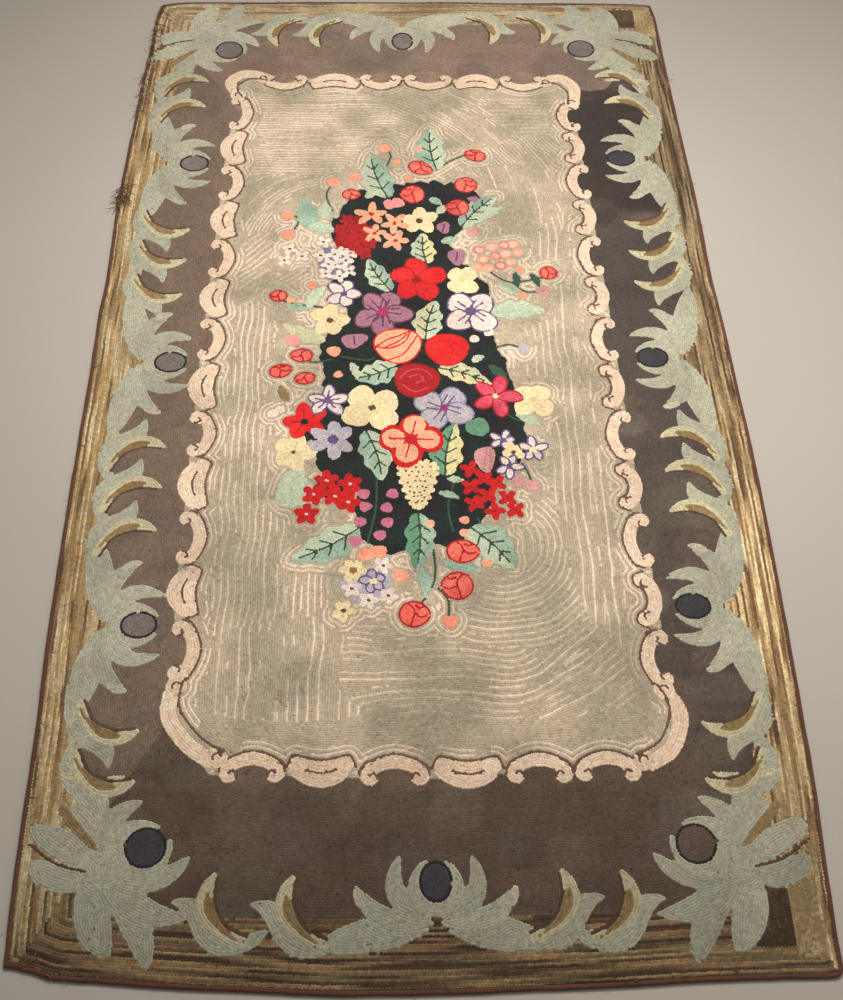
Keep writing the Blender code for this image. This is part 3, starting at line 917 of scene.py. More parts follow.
Zone = namedtuple("Zone", "yarn area guide light_every light_share", defaults=[0, 0.0])
ZONES = [
    Zone("band", [(-50, 95), (50, 95), (33, 70), (-33, 70)], [(-60, 120), (60, 120.5)]),
    Zone("band", [(-50, -97), (50, -97), (34, -68), (-34, -68)], [(-60, -120), (60, -120)]),
    Zone("band", [(-52, 96), (-32, 70), (-33, -67), (-52, -98)], [(-60, 120), (-60, -120)]),
    Zone("band", [(52, 96), (30, 70), (34, -67), (52, -98)], [(58, 120), (62, -120)]),
    Zone("field", [(-36, 75), (36, 75), (38, -75), (-38, -75)], [(-60, 0), (60, 0)]),
    Zone("field", [(-30, 66), (-2, 66), (1, 56), (-2, 44), (-14, 41), (-29, 43)],
         [(-60, 55), (-16, 54), (30, 56)], 2, 0.68),
    Zone("field", [(-3, 66), (14, 65), (30, 52), (30, 30), (21, 28), (12, 42), (2, 44)],
         [(-2, 68), (8, 62), (18, 51), (27, 34), (28, 10)], 2, 0.58),
    Zone("field", [(14, 47), (27, 44), (27, 28), (15, 28), (12, 38)],
         [(16, 60), (21, 36), (19, 10)], 5, 0.30),
    Zone("field", [(15, 66), (28.5, 66), (28.5, 56), (18, 56)], [(0, 61), (50, 62)], 3, 0.60),
    Zone("field", [(-30, 43), (-12, 42), (-13, 28), (-20, 26), (-30, 28)],
         [(-13.5, 27), (-13, 26.8)], 2, 0.56),
    Zone("field", [(-30, 28), (-17, 28), (-17, 18), (-24, 9), (-30, 8)],
         [(-50, -6), (-2, 40)], 3, 0.70),
    Zone("field", [(-30, 12), (-14, 8), (-16, -20), (-30, -22)],
         [(-25, 80), (-24, 0), (-25, -80)], 3, 0.68),
    Zone("field", [(-30, -20), (-10, -20), (-10, -50), (-30, -50)],
         [(-20, 20), (-19, -34), (-21, -80)], 3, 0.72),
    Zone("field", [(-30, -49), (-9, -46), (-6, -60), (-30, -60)],
         [(-20, -30), (-19.4, -50), (-20.5, -90)], 4, 0.70),
    Zone("field", [(-8, -46), (8, -48), (29, -42), (29, -59.5), (-8, -59.5)],
         [(-30, -58), (2, -56), (14, -56.5), (22, -52), (38, -38)], 3, 0.62),
    Zone("field", [(9, -20), (24, -16), (25, -40), (20, -50), (6, -49), (6, -40)],
         [(11.5, -33), (12, -33.4)], 3, 0.74),
    Zone("field", [(21, 28), (30, 30), (31, -44), (24, -44), (20, -14), (18, 6)],
         [(26, 80), (26.8, 0), (27.4, -80)], 4, 0.70),
]
# How many rows follow the motifs' edges, and how far the other rows wander from their guide, in cells
ECHO_ROWS = {"field": 5, "band": 3}
WAVES = {"field": (3.6, 1.6), "band": (1.6, 0.4)}


def guide_distance(points, window):
    """How far the canvas cells of a window lie from a guide, in cells."""
    path = cells(curve(points, steps=4))
    y, x = np.mgrid[window].astype(np.float32)
    best = np.full(x.shape, 1e9, np.float32)
    for (x1, y1), (x2, y2) in zip(path, path[1:]):
        dx, dy = x2 - x1, y2 - y1
        t = np.clip(((x - x1) * dx + (y - y1) * dy) / (dx * dx + dy * dy), 0, 1)
        np.minimum(best, (x - x1 - t * dx) ** 2 + (y - y1 - t * dy) ** 2, out=best)
    return np.sqrt(best)


def edge_distance(mask):
    """For each cell, how far the nearest marked cell lies, up to a limit, in cells."""
    limit = 90
    tall = np.where(mask, 0, 4 * limit).astype(np.float32)
    for row in range(1, ROWS):
        np.minimum(tall[row], tall[row - 1] + 1, out=tall[row])
    for row in range(ROWS - 2, -1, -1):
        np.minimum(tall[row], tall[row + 1] + 1, out=tall[row])
    square = tall * tall
    best = square.copy()
    for shift in range(1, limit):
        step = np.float32(shift * shift)
        np.minimum(best[:, shift:], square[:, :-shift] + step, out=best[:, shift:])
        np.minimum(best[:, :-shift], square[:, shift:] + step, out=best[:, :-shift])
    return np.sqrt(best) + 0.5


def shape_edges():
    """The cells that touch a cell of another shape."""
    mask = np.zeros((ROWS, COLUMNS), bool)
    across = canvas[:, 1:] != canvas[:, :-1]
    along = canvas[1:] != canvas[:-1]
    mask[:, 1:] |= across
    mask[:, :-1] |= across
    mask[1:] |= along
    mask[:-1] |= along
    return mask


def row_field(inside):
    """Where the rows run: each cell's distance across the rows, and the zone that it is in."""
    distance = edge_distance(shape_edges())
    yarns = np.array([s.yarn for s in shapes])[canvas]
    across = distance.copy()
    zone = np.zeros((ROWS, COLUMNS), np.int16)
    slow, quick = smooth_noise(SLOW_LUMPS), smooth_noise(QUICK_LUMPS)
    for index, item in enumerate(ZONES, 1):
        window, mask = filled(cells(curve(item.area, True, 4) if item.yarn == "field" else item.area))
        chosen = mask & (yarns[window] == item.yarn)
        chosen &= distance[window] > ECHO_ROWS[item.yarn] * ROW_PITCH
        long_wave, short_wave = WAVES[item.yarn]
        rows = guide_distance(item.guide, window) + long_wave * slow[window] + short_wave * quick[window]
        across[window][chosen] = rows[chosen]
        zone[window][chosen] = index
    streaks = yarns == "streaks"
    across[streaks] = edge_distance(~inside)[streaks]
    return across, zone


def fine_shapes():
    """1 for each shape that is hooked in fine rows, and 0 for the others."""
    return np.array([s.group == "bouquet" for s in shapes], int)


def traced_rows(across, zone, inside):
    """Paths along the middles of the rows: where the distance across them is half a pitch past a row."""
    fine = fine_shapes()[canvas]
    wave = np.cos(math.pi * across / np.array(PITCHES)[fine])
    up = wave > 0
    key = np.where(inside, zone.astype(int) * 2 + fine, -1)
    same = (key[1:, 1:] == key[:-1, :-1]) & (key[1:, :-1] == key[:-1, 1:]) & (key[1:, 1:] == key[1:, :-1])
    same &= inside[1:, 1:]
    # A row crosses a side of a square of four cells where the wave changes its sign
    flat = up[:, 1:] != up[:, :-1]
    tall = up[1:] != up[:-1]
    number = ROWS * COLUMNS
    name = np.arange(number).reshape(ROWS, COLUMNS)
    sides = [
        (flat[:-1] & same, name[:-1, :-1]), (flat[1:] & same, name[1:, :-1]),
        (tall[:, :-1] & same, name[:-1, :-1] + number), (tall[:, 1:] & same, name[:-1, 1:] + number),
    ]
    count = sum(crossed.astype(int) for crossed, _ in sides)
    pairs = []
    for a, b in combinations(range(4), 2):
        both = sides[a][0] & sides[b][0]
        # Where all four sides are crossed, the top joins the left and the bottom joins the right
        if (a, b) not in ((0, 2), (1, 3)):
            both &= count == 2
        pairs.append(np.stack([sides[a][1][both], sides[b][1][both]], 1))
    names, compact = np.unique(np.concatenate(pairs), return_inverse=True)
    compact = compact.reshape(-1, 2)
    ends, others = compact.T.ravel(), compact[:, ::-1].T.ravel()
    order = np.argsort(ends, kind="stable")
    ends, others = ends[order], others[order]
    first, last = (np.searchsorted(ends, np.arange(len(names)), side=end) for end in ("left", "right"))
    near = others[first]
    far = np.where(last - first > 1, others[np.minimum(first + 1, len(others) - 1)], -1)
    y, x = divmod(names % number, COLUMNS)
    is_tall = names >= number
    y2, x2 = y + is_tall, x + ~is_tall
    share = wave[y, x] / (wave[y, x] - wave[y2, x2])
    place = np.stack([x + share * (x2 - x), y + share * (y2 - y)], 1)
    return chains(near.tolist(), far.tolist()), place


def chains(near, far):
    """Links of neighbours followed into open and closed chains."""
    seen = bytearray(len(near))
    starts = [i for i, other in enumerate(far) if other < 0]
    out = []
    for start in starts + list(range(len(near))):
        if seen[start]:
            continue
        chain = [start]
        seen[start] = 1
        at = near[start]
        while at >= 0 and not seen[at]:
            seen[at] = 1
            chain.append(at)
            ahead = near[at]
            at = ahead if not seen[ahead] else far[at]
        out.append(chain)
    return out


# Choosing where each loop stands


def discs(share):
    """Round masks for a coarse and a fine loop, so many times its pitch in radius, each with its reach."""
    found = []
    for pitch in PITCHES:
        radius = share * pitch
        reach = math.ceil(radius)
        dy, dx = np.mgrid[-reach:reach + 1, -reach:reach + 1]
        found.append((reach, dx * dx + dy * dy <= radius * radius))
    return found


def ways_along(path):
    """The direction of a path at each of its points."""
    if len(path) < 2:
        return np.array([(1.0, 0.0)] * len(path))
    way = np.gradient(path, axis=0)
    return way / np.maximum(np.hypot(*way.T), 1e-9)[:, None]


def choose_loops(inside, across, zone):
    """Loops along the single rows first, then along all other rows, then in what holes are left."""
    margin = 12
    taken = np.zeros((ROWS * FINE_CELLS + 2 * margin, COLUMNS * FINE_CELLS + 2 * margin), bool)
    fine = fine_shapes()
    sizes = discs(APART * FINE_CELLS)
    found, owners, ways = [], [], []

    def offer(points, owner=None):
        for (x, y), way in zip(points, ways_along(points)):
            column, row = int(x + 0.5), int(y + 0.5)
            if not (0 <= column < COLUMNS and 0 <= row < ROWS) or not inside[row, column]:
                continue
            index = canvas[row, column]
            if owner is not None and index != owner:
                continue
            fx = int((x + 0.5) * FINE_CELLS) + margin
            fy = int((y + 0.5) * FINE_CELLS) + margin
            if taken[fy, fx]:
                continue
            reach, shape = sizes[fine[index]]
            taken[fy - reach:fy + reach + 1, fx - reach:fx + reach + 1] |= shape
            found.append((x, y))
            owners.append(index)
            ways.append(way)

    for owner, path in lines[::-1]:
        offer(path, owner)
    paths, place = traced_rows(across, zone, inside)
    for chain in sorted(paths, key=len, reverse=True):
        path = place[chain]
        if len(path) < 3:
            offer(path[:1])
            continue
        if np.hypot(*(path[0] - path[-1])) < 2:
            path = np.concatenate([path, path[:1]])
        x, y = path[len(path) // 2]
        pitch = PITCHES[fine[canvas[int(y + 0.5), int(x + 0.5)]]]
        offer(resampled(path, pitch * ALONG_SHARE))
    fill_holes(inside, fine, found, owners)
    rise, run = np.gradient(across)
    for x, y in found[len(ways):]:
        slope = np.array([-rise[int(y), int(x)], run[int(y), int(x)]])
        ways.append(slope / max(np.hypot(*slope), 1e-6))
    return np.array(found), np.array(owners), np.array(ways)


def fill_holes(inside, fine, found, owners):
    """Loops added wherever a place lies farther than most of a pitch from every loop."""
    margin = 8
    covered = np.pad(~inside, margin, constant_values=True)
    sizes = discs(COVER)

    def cover(x, y, index):
        reach, shape = sizes[fine[index]]
        column, row = int(x + 0.5) + margin, int(y + 0.5) + margin
        covered[row - reach:row + reach + 1, column - reach:column + reach + 1] |= shape

    for (x, y), index in zip(found, owners):
        cover(x, y, index)
    for row, column in np.argwhere(~covered[margin:-margin, margin:-margin]).tolist():
        if not covered[row + margin, column + margin]:
            found.append((float(column), float(row)))
            owners.append(canvas[row, column])
            cover(column, row, canvas[row, column])


# The colour of each loop


def linear(colour):
    share = np.asarray(colour, float) / 255
    return np.where(share <= 0.04045, share / 12.92, ((share + 0.055) / 1.055) ** 2.4)


# The band's brown on its four sides, and the seam between two of its dye lots
BAND_TONES = {"left": (129, 108, 91), "right": (89, 77, 70), "far": (145, 121, 104), "near": (101, 82, 69)}
LOT_SEAM = 69.5
BAND_PATCHES = [(104, 88, 88), (124, 112, 94), (128, 100, 86)]
# Darker lots at the right: each one's brown, and its middle and reach along the side
DEEP_LOTS = [((84, 73, 67), 14, 20), ((64, 55, 49), 51, 20)]
# The wools of the streaked outer edge on its four sides
STREAK_TONES = {
    "near": [(108, 86, 62), (76, 57, 40), (144, 118, 82), (94, 71, 50),
             (130, 108, 74), (64, 49, 36), (132, 101, 72), (104, 92, 64)],
    "far": [(186, 164, 126), (168, 142, 106), (148, 122, 92), (198, 176, 138),
            (176, 160, 122), (136, 110, 82), (192, 166, 130), (164, 144, 110)],
    "left": [(190, 164, 122), (170, 148, 108), (206, 186, 146), (150, 128, 88),
             (174, 140, 92), (112, 88, 60), (196, 174, 134), (150, 116, 76)],
    "right": [(150, 122, 84), (176, 150, 110), (108, 82, 56), (196, 174, 134),
              (132, 106, 74), (88, 66, 46), (184, 160, 120), (164, 142, 104)],
}
STREAK_SIDES = list(STREAK_TONES)
# How light the streaks are along the two long sides: places, and a factor at each
STREAK_SHADES = {
    "left": ((-92, -76, -60), (0.6, 0.8, 1.0)),
    "right": ((-90, -62, -42, -22, 0, 20, 40, 62, 82), (0.95, 1.15, 2.0, 1.3, 0.8, 0.95, 0.6, 0.62, 0.8)),
}
STREAK_LENGTH = 80
STREAK_STRETCH = (0.5, 2.0)
STREAK_ROWS = 64
STREAK_RUNS = 64
STREAK_MITRE = 0.985
# How the wools differ: by a slow drift and a patchy one, by shape, and by loop. Along the rug the colours
# also carry painted shade, darker toward the near end, and painted light at the far end
SLOW_DRIFT, PATCHY_DRIFT = 0.10, 0.08
PAINTED_END_LIGHT_AND_SHADE = ((-92, -80, -62, 66, 88), (0.70, 0.87, 1.0, 1.0, 1.08))
SHAPE_SPREAD = 0.05
WOOL_SPREAD, WOOL_LIMITS = 0.085, (0.72, 1.28)
STREAK_SPREAD, STREAK_LIMITS = 0.10, (0.7, 1.3)
HUE_SPREAD = 0.018
DARKEST, LIGHTEST = 0.004, 0.92
# The field's warmer patches and its lighter rows
WARM_SHARE = 0.6
LIGHT_STRENGTH = (0.45, 1.0)
ECHO_LIGHT_SHARE = 0.62
ROW_NUMBERS = 512


def towards(colour, other, share):
    """Colours moved towards another one, each by its own share."""
    return colour * (1 - share[:, None]) + other * share[:, None]


def band_colour(x, y, patches):
    """The band's brown, dyed in four lots, with patches of other browns."""
    nearness = {
        "left": -x / 40, "right": (x - 6) / 34, "far": (y - 8) / 66, "near": -y / 70,
    }
    names = list(nearness)
    pick = np.argmax(np.stack([nearness[name] for name in names]), 0)
    pick[(x > 28) & (y < LOT_SEAM + 1.5 * patches[1]) & (pick == names.index("far"))] = names.index("right")
    tones = np.array([linear(BAND_TONES[name]) for name in names])[pick]
    for patch, tone in zip(patches, BAND_PATCHES):
        tones = towards(tones, linear(tone), np.clip((patch - 0.30) * 1.8, 0, 0.35))
    on_right = pick == names.index("right")
    for tone, middle, reach in DEEP_LOTS:
        share = on_right * np.clip((reach - np.abs(y - middle)) / 6 + patches[0], 0, 1)
        tones = towards(tones, linear(tone), share)
    return tones


def streak_colour(column, row, across, random):
    """The outer edge: each row is a run of one wool after another, darker at the near end."""
    rows = np.clip(np.floor(across / ROW_PITCH).astype(int), 0, STREAK_ROWS - 1)
    x, y = column - COLUMNS / 2, row - ROWS / 2
    on_long_side = np.abs(x) / COLUMNS > np.abs(y) / ROWS * STREAK_MITRE
    place = np.where(on_long_side, y, x)
    side = on_long_side * 2 + np.where(on_long_side, x > 0, y > 0)
    sides = len(STREAK_SIDES)
    start = random.uniform(0, STREAK_LENGTH, (STREAK_ROWS, sides))
    stretch = random.uniform(*STREAK_STRETCH, (STREAK_ROWS, sides))
    turns = (place + start[rows, side]) / (STREAK_LENGTH * stretch[rows, side])
    number = np.floor(turns).astype(int)
    table = random.integers(0, len(STREAK_TONES["left"]), (STREAK_ROWS, sides, STREAK_RUNS))
    tones = np.array([[linear(tone) for tone in STREAK_TONES[name]] for name in STREAK_SIDES])
    this, following = (tones[side, table[rows, side, k % STREAK_RUNS]] for k in (number, number + 1))
    colour = towards(this, following, np.clip((turns - number - 0.5) / 0.5, 0, 1))
    for name, shade in STREAK_SHADES.items():
        mine = side == STREAK_SIDES.index(name)
        colour[mine] *= np.interp(y[mine] / 10, *shade)[:, None]
    return colour * random.normal(1, STREAK_SPREAD, (len(colour), 1)).clip(*STREAK_LIMITS)


# A second wool that is spun into each yarn, and its greatest share
HEATHER = {
    "field": ((150, 148, 122), 0.45),
    "black": ((24, 54, 46), 0.35),
    "scarlet": ((226, 66, 58), 0.25),
    "coral": ((240, 148, 126), 0.40),
    "cream": ((232, 204, 150), 0.40),
    "white": ((212, 190, 190), 0.35),
    "lavender": ((160, 150, 178), 0.45),
    "mauve": ((156, 100, 130), 0.45),
    "sage_leaf": ((186, 200, 172), 0.40),
    "pale_leaf": ((160, 180, 156), 0.40),
    "gold_leaf": ((190, 196, 160), 0.40),
    "sage": ((164, 168, 148), 0.40),
    "scroll": ((216, 178, 146), 0.45),
    "red": ((172, 26, 32), 0.40),
    "crimson": ((150, 24, 34), 0.35),
    "peach": ((228, 150, 122), 0.40),
    "salmon": ((255, 190, 160), 0.40),
    "hot_pink": ((240, 120, 140), 0.35),
    "dusky": ((222, 172, 164), 0.40),
    "khaki": ((174, 178, 138), 0.40),
    "crescent": ((186, 176, 144), 0.50),
    "olive": ((132, 102, 62), 0.60),
    "umber": ((62, 46, 34), 0.80),
    "straw": ((140, 116, 80), 0.80),
}


def light_rows(zone, number, breaks, chance):
    """Which loops stand in the field's lighter rows, where these don't break off."""
    lit = (zone == 0) & (number % 2 == 1) & (breaks < ECHO_LIGHT_SHARE)
    for index, item in enumerate(ZONES, 1):
        if item.light_every:
            here = (zone == index) & (number % item.light_every == 0)
            lit |= here & (0.55 * breaks + 0.45 * chance < item.light_share)
    return lit


def loop_colours(points, owners, across, zone):
    """Each loop's colour: its shape's wool, heathered, with drift, dye lots and lighter rows, and painted
    shade toward the near end with painted light at the far end.
    """
    random = np.random.default_rng(SEED + 1)
    column, row = (points + 0.5).astype(int).T
    column, row = np.clip(column, 0, COLUMNS - 1), np.clip(row, 0, ROWS - 1)
    yarns = np.array([s.yarn for s in shapes])[owners]
    colour = np.array([linear(YARNS[s.yarn]) for s in shapes])[owners]
    x = (points[:, 0] - COLUMNS / 2) / 10
    y = (points[:, 1] - ROWS / 2) / 10
    slow, patchy = (smooth_noise(size)[row, column] for size in (SLOW_LUMPS, PATCHY_LUMPS))
    depth, zone = across[row, column], zone[row, column]

    for name, (second, most) in HEATHER.items():
        mine = yarns == name
        share = 0.5 + 0.9 * patchy[mine] + random.normal(0, 0.35, mine.sum())
        colour[mine] = towards(colour[mine], linear(second), most * np.clip(share, 0, 1))

    band = yarns == "band"
    patches = [smooth_noise(BAND_LUMPS, BAND_STRETCH)[row, column][band] for _ in BAND_PATCHES]
    colour[band] = band_colour(x[band], y[band], patches)

    streaks = yarns == "streaks"
    colour[streaks] = streak_colour(column[streaks], row[streaks], depth[streaks], random)

    field = yarns == "field"
    warmth = WARM_SHARE * np.clip(0.5 + 0.8 * slow + 0.3 * patchy, 0, 1)
    colour[field] = towards(colour, linear(YARNS["field_warm"]), warmth)[field]
    number = np.floor(depth / ROW_PITCH).astype(int)
    breaks = smooth_noise(BREAK_LUMPS)[row, column] * 0.5 + 0.5
    numbers = (len(ZONES) + 1, ROW_NUMBERS)
    strength = random.uniform(*LIGHT_STRENGTH, numbers)[zone, number % ROW_NUMBERS]
    strength = np.clip(strength * (0.75 + 0.5 * slow), 0.2, 1)
    chance = random.uniform(0, 1, numbers)[zone, number % ROW_NUMBERS]
    lit = field & light_rows(zone, number, breaks, chance)
    colour[lit] = towards(colour, linear(YARNS["field_light"]), strength)[lit]

    tint = 1 + SLOW_DRIFT * slow + PATCHY_DRIFT * patchy
    # Painted shade toward the near end and painted light at the far end, on all loops but the streaks
    tint[~streaks] *= np.interp(y[~streaks], *PAINTED_END_LIGHT_AND_SHADE)
    tint *= random.normal(1, SHAPE_SPREAD, len(shapes))[owners]
    tint *= random.normal(1, WOOL_SPREAD, len(points)).clip(*WOOL_LIMITS)
    hue = random.normal(1, HUE_SPREAD, (len(points), 3))
    return np.clip(colour * (tint[:, None] * hue), DARKEST, LIGHTEST)


# The pile as one surface: each loop is a low cone, and neighbours share the corners of their feet


# The soft crease across the near end, a dip and a swell: height, distance from the middle and half width
CREASE = [(-0.0008, 0.785, 0.012), (0.0007, 0.765, 0.015)]
CREASE_SLANT = 0.02
SWELL = 0.00030
TOP_SPREAD, TOP_LIMIT = 0.00020, 0.0005
FOOT_SPREAD = 0.00012
# How far the loops stray from their places, in cells, and how far the pile's rim reaches into the binding
PLACE_SPREAD, PLACE_LIMIT = 0.26, 0.6
RIM_REACH = 0.0018
BAKE_MARGIN = 0.01


def ground_height(x, y):
    """The pile's slow ups and downs, with the soft crease across the near end, in metres."""
    slanted = y + CREASE_SLANT * x
    crease = sum(rise * np.exp(-(((slanted + place) / width) ** 2)) for rise, place, width in CREASE)
    return SWELL * np.sin(9 * x + 2.3) * np.cos(7 * y + 0.7) + crease


def voronoi(points, ghosts):
    """The corner points round each loop, in order: for each fan triangle its loop and two corners."""
    every = np.concatenate([points, ghosts])
    faces = delaunay_2d_cdt([Vector(p) for p in every.tolist()], [], [], 0, 1e-8)[2]
    triangle = np.array(faces)
    a, b, c = (every[triangle[:, i]] for i in range(3))
    ab, ac = b - a, c - a
    turn = 2 * (ab[:, 0] * ac[:, 1] - ab[:, 1] * ac[:, 0])
    ab2, ac2 = (ab ** 2).sum(1), (ac ** 2).sum(1)
    ux = (ac[:, 1] * ab2 - ab[:, 1] * ac2) / turn
    uy = (ab[:, 0] * ac2 - ac[:, 0] * ab2) / turn
    corner = a + np.stack([ux, uy], 1)
    middle = (a + b + c) / 3
    shift = corner - middle
    far = np.maximum(np.hypot(*shift.T), 1e-9)
    corner = middle + shift * np.minimum(1, LONGEST_REACH / far)[:, None]
    loop = triangle.ravel()
    owner_triangle = np.repeat(np.arange(len(triangle)), 3)
    angle = np.arctan2(*(corner[owner_triangle] - every[loop]).T[::-1])
    order = np.lexsort((angle, loop))
    loop, owner_triangle = loop[order], owner_triangle[order]
    first = np.searchsorted(loop, loop)
    last = np.searchsorted(loop, loop, side="right")
    here = np.arange(len(loop))
    following = np.where(here + 1 < last, here + 1, first)
    fans = np.stack([loop, owner_triangle, owner_triangle[following]], 1)
    rim = (triangle >= len(points)).any(1)
    return fans[loop < len(points)], corner, rim


def new_piece(name, vertices, triangles, material):
    mesh = bpy.data.meshes.new(name)
    mesh.vertices.add(len(vertices))
    mesh.vertices.foreach_set("co", np.asarray(vertices, np.float32).ravel())
    mesh.loops.add(triangles.size)
    mesh.loops.foreach_set("vertex_index", triangles.ravel().astype(np.int32))
    mesh.polygons.add(len(triangles))
    mesh.polygons.foreach_set("loop_start", np.arange(0, triangles.size, 3, dtype=np.int32))
    mesh.update(calc_edges=True)
    mesh.shade_smooth()
    mesh.materials.append(material)
    obj = bpy.data.objects.new(name, mesh)
    bpy.context.scene.collection.objects.link(obj)
    return obj


def corner_vertices(mesh):
    """The vertex at each corner of each triangle."""
    corner = np.empty(len(mesh.loops), np.int32)
    mesh.loops.foreach_get("vertex_index", corner)
    return corner


def set_bake_map(mesh, places):
    layer = mesh.uv_layers.new(name="OFBake")
    layer.uv.foreach_set("vector", places.astype(np.float32).ravel())


def colour_faces(mesh, colours):
    """A wool colour for each triangle, for the material to read."""
    rgba = np.ones((len(colours), 4), np.float32)
    rgba[:, :3] = colours
    yarn = mesh.attributes.new("yarn", "FLOAT_COLOR", "FACE")
    yarn.data.foreach_set("color", rgba.ravel())


def map_from_above(mesh, vertices):
    """The bake map of the pile: the rug seen from straight above."""
    low, high = np.array(CAD_BOX[0])[:2] - BAKE_MARGIN, np.array(CAD_BOX[1])[:2] + BAKE_MARGIN
    flat = (vertices[:, :2].astype(np.float32) - low) / (high - low).max()
    set_bake_map(mesh, flat[corner_vertices(mesh)])


def lie_in_row(mesh, reach, way):
    """How far each corner lies along and across its loop's row, for the material's ribs."""
    lie = np.zeros((len(reach), 3, 3), np.float32)
    lie[:, 1:, 0] = (reach * way).sum(-1) / LOOP_LENGTH
    lie[:, 1:, 1] = (reach[..., 1] * way[..., 0] - reach[..., 0] * way[..., 1]) / (ROW_PITCH * CELL / 2)
    in_row = mesh.attributes.new("lie", "FLOAT_VECTOR", "CORNER")
    in_row.data.foreach_set("vector", lie.ravel())


def make_pile(points, owners, ways, colours, ghosts, material):
    """The pile, in pieces of one group of shapes each, cut again across the rug where they are large."""
    random = np.random.default_rng(SEED + 2)
    fans, corner, rim = voronoi(points, ghosts)
    top = LOOP_TOP + ground_height(*points.T)
    top += random.normal(0, TOP_SPREAD, len(points)).clip(-TOP_LIMIT, TOP_LIMIT)
    foot = LOOP_TOP - LOOP_RELIEF + ground_height(*corner.T) + random.normal(0, FOOT_SPREAD, len(corner))
    foot[rim] = RIM_HEIGHT
    groups = np.array([s.group for s in shapes])[owners]
    pieces = []
    for name in ("bouquet", "field", "band", "border", "edge"):
        members = np.nonzero(groups == name)[0]
        members = members[np.argsort(points[members, 1], kind="stable")]
        parts = math.ceil(len(members) / LOOPS_PER_PIECE)
        for part, chosen in enumerate(np.array_split(members, parts), 1):
            mine = np.zeros(len(points), bool)
            mine[chosen] = True
            fan = fans[mine[fans[:, 0]]]
            feet, foot_number = np.unique(fan[:, 1:], return_inverse=True)
            loops, loop_number = np.unique(fan[:, 0], return_inverse=True)
            vertices = np.concatenate([
                np.column_stack([points[loops], top[loops]]), np.column_stack([corner[feet], foot[feet]]),
            ])
            triangles = np.column_stack([loop_number, foot_number.reshape(-1, 2) + len(loops)])
            obj = new_piece(f"pile_{name}_{part}", vertices, triangles, material)
            map_from_above(obj.data, vertices)
            colour_faces(obj.data, colours[fan[:, 0]])
            lie_in_row(obj.data, corner[fan[:, 1:]] - points[fan[:, :1]], ways[fan[:, :1]])
            pieces.append(obj)
    return pieces


# The rug's outline, as the solids have it: each side's inset from the bounding rectangle


WIDTH, LENGTH = (CAD_BOX[1][i] - CAD_BOX[0][i] for i in range(2))
# How far inside the outline the pile ends, in metres
PILE_DEPTH = 0.0060
CORNER_STEPS = 6
SMALLEST_CORNER = 0.0020
SHORT_STATIONS = 260
LONG_STATIONS = 480
# Each edge's stations: a place along the side and the inset there, in metres
NEAR_EDGE = [
    (-0.503, 0.036), (-0.478, 0.030), (-0.453, 0.022), (-0.403, 0.018), (-0.303, 0.010), (-0.203, 0.005),
    (-0.103, 0.000), (0.047, 0.001), (0.147, 0.004), (0.247, 0.007), (0.347, 0.012), (0.497, 0.015),
]
FAR_EDGE = [
    (-0.503, 0.019), (-0.483, 0.014), (-0.453, 0.009), (-0.303, 0.007), (-0.203, 0.004), (-0.003, 0.002),
    (0.097, 0.000), (0.197, 0.002), (0.297, 0.000), (0.447, 0.001), (0.491, 0.005),
]
LEFT_EDGE = [
    (-0.917, 0.014), (-0.840, 0.010), (-0.740, 0.008), (-0.590, 0.006), (-0.490, 0.002), (-0.190, 0.000),
    (0.010, 0.001), (0.110, 0.000), (0.210, 0.003), (0.360, 0.001), (0.510, 0.004), (0.610, 0.008),
    (0.710, 0.010), (0.810, 0.016), (0.880, 0.017), (0.930, 0.024),
]
RIGHT_EDGE = [
    (-0.890, 0.012), (-0.790, 0.008), (-0.690, 0.003), (-0.390, 0.000), (-0.190, 0.001), (0.010, 0.007),
    (0.110, 0.010), (0.210, 0.015), (0.410, 0.017), (0.510, 0.021), (0.610, 0.024), (0.760, 0.029),
    (0.910, 0.032), (0.948, 0.037),
]
Side = namedtuple("Side", "name edge stations along inward corner_radius")
SIDES = [
    Side("near", NEAR_EDGE, SHORT_STATIONS, Vector((1, 0)), Vector((0, 1)), 0.005),
    Side("right", RIGHT_EDGE, LONG_STATIONS, Vector((0, 1)), Vector((-1, 0)), 0.016),
    Side("far", FAR_EDGE, SHORT_STATIONS, Vector((-1, 0)), Vector((0, -1)), 0.007),
    Side("left", LEFT_EDGE, LONG_STATIONS, Vector((0, -1)), Vector((1, 0)), 0.007),
]


def inset_at(edge, place):
    """The edge's inset at a place along it, on a smooth curve through its stations."""
    last = len(edge) - 1
    k = max(i for i in range(last) if i == 0 or edge[i][0] <= place)
    a, b = edge[k], edge[k + 1]
    before, after = edge[max(k - 1, 0)], edge[min(k + 2, last)]
    span = b[0] - a[0]
    t = min(max((place - a[0]) / span, 0.0), 1.0)
    slope_a = (b[1] - before[1]) / (b[0] - before[0]) * span
    slope_b = (after[1] - a[1]) / (after[0] - a[0]) * span
    inset = (
        a[1] * (1 + 2 * t) * (1 - t) ** 2 + slope_a * t * (1 - t) ** 2
        + b[1] * t * t * (3 - 2 * t) - slope_b * t * t * (1 - t)
    )
    return max(inset, 0.0)


def inset_of(side, along):
    return inset_at(side.edge, along * (side.along.x + side.along.y))


def side_run(index, depth):
    """Points along one side from corner round to corner round, a depth inside the outline."""
    side = SIDES[index]
    before, after = SIDES[index - 1], SIDES[(index + 1) % len(SIDES)]
    half_along, half_across = (WIDTH / 2, LENGTH / 2) if side.along.x else (LENGTH / 2, WIDTH / 2)
    start = -half_along + inset_of(before, half_across) + depth
    end = half_along - inset_of(after, -half_across) - depth
    start += max(side.corner_radius - depth, SMALLEST_CORNER)
    end -= max(after.corner_radius - depth, SMALLEST_CORNER)
    points = []
    for i in range(side.stations + 1):
        along = start + (end - start) * i / side.stations
        across = inset_of(side, along) + depth - half_across
        points.append(side.along * along + side.inward * across)
    return points


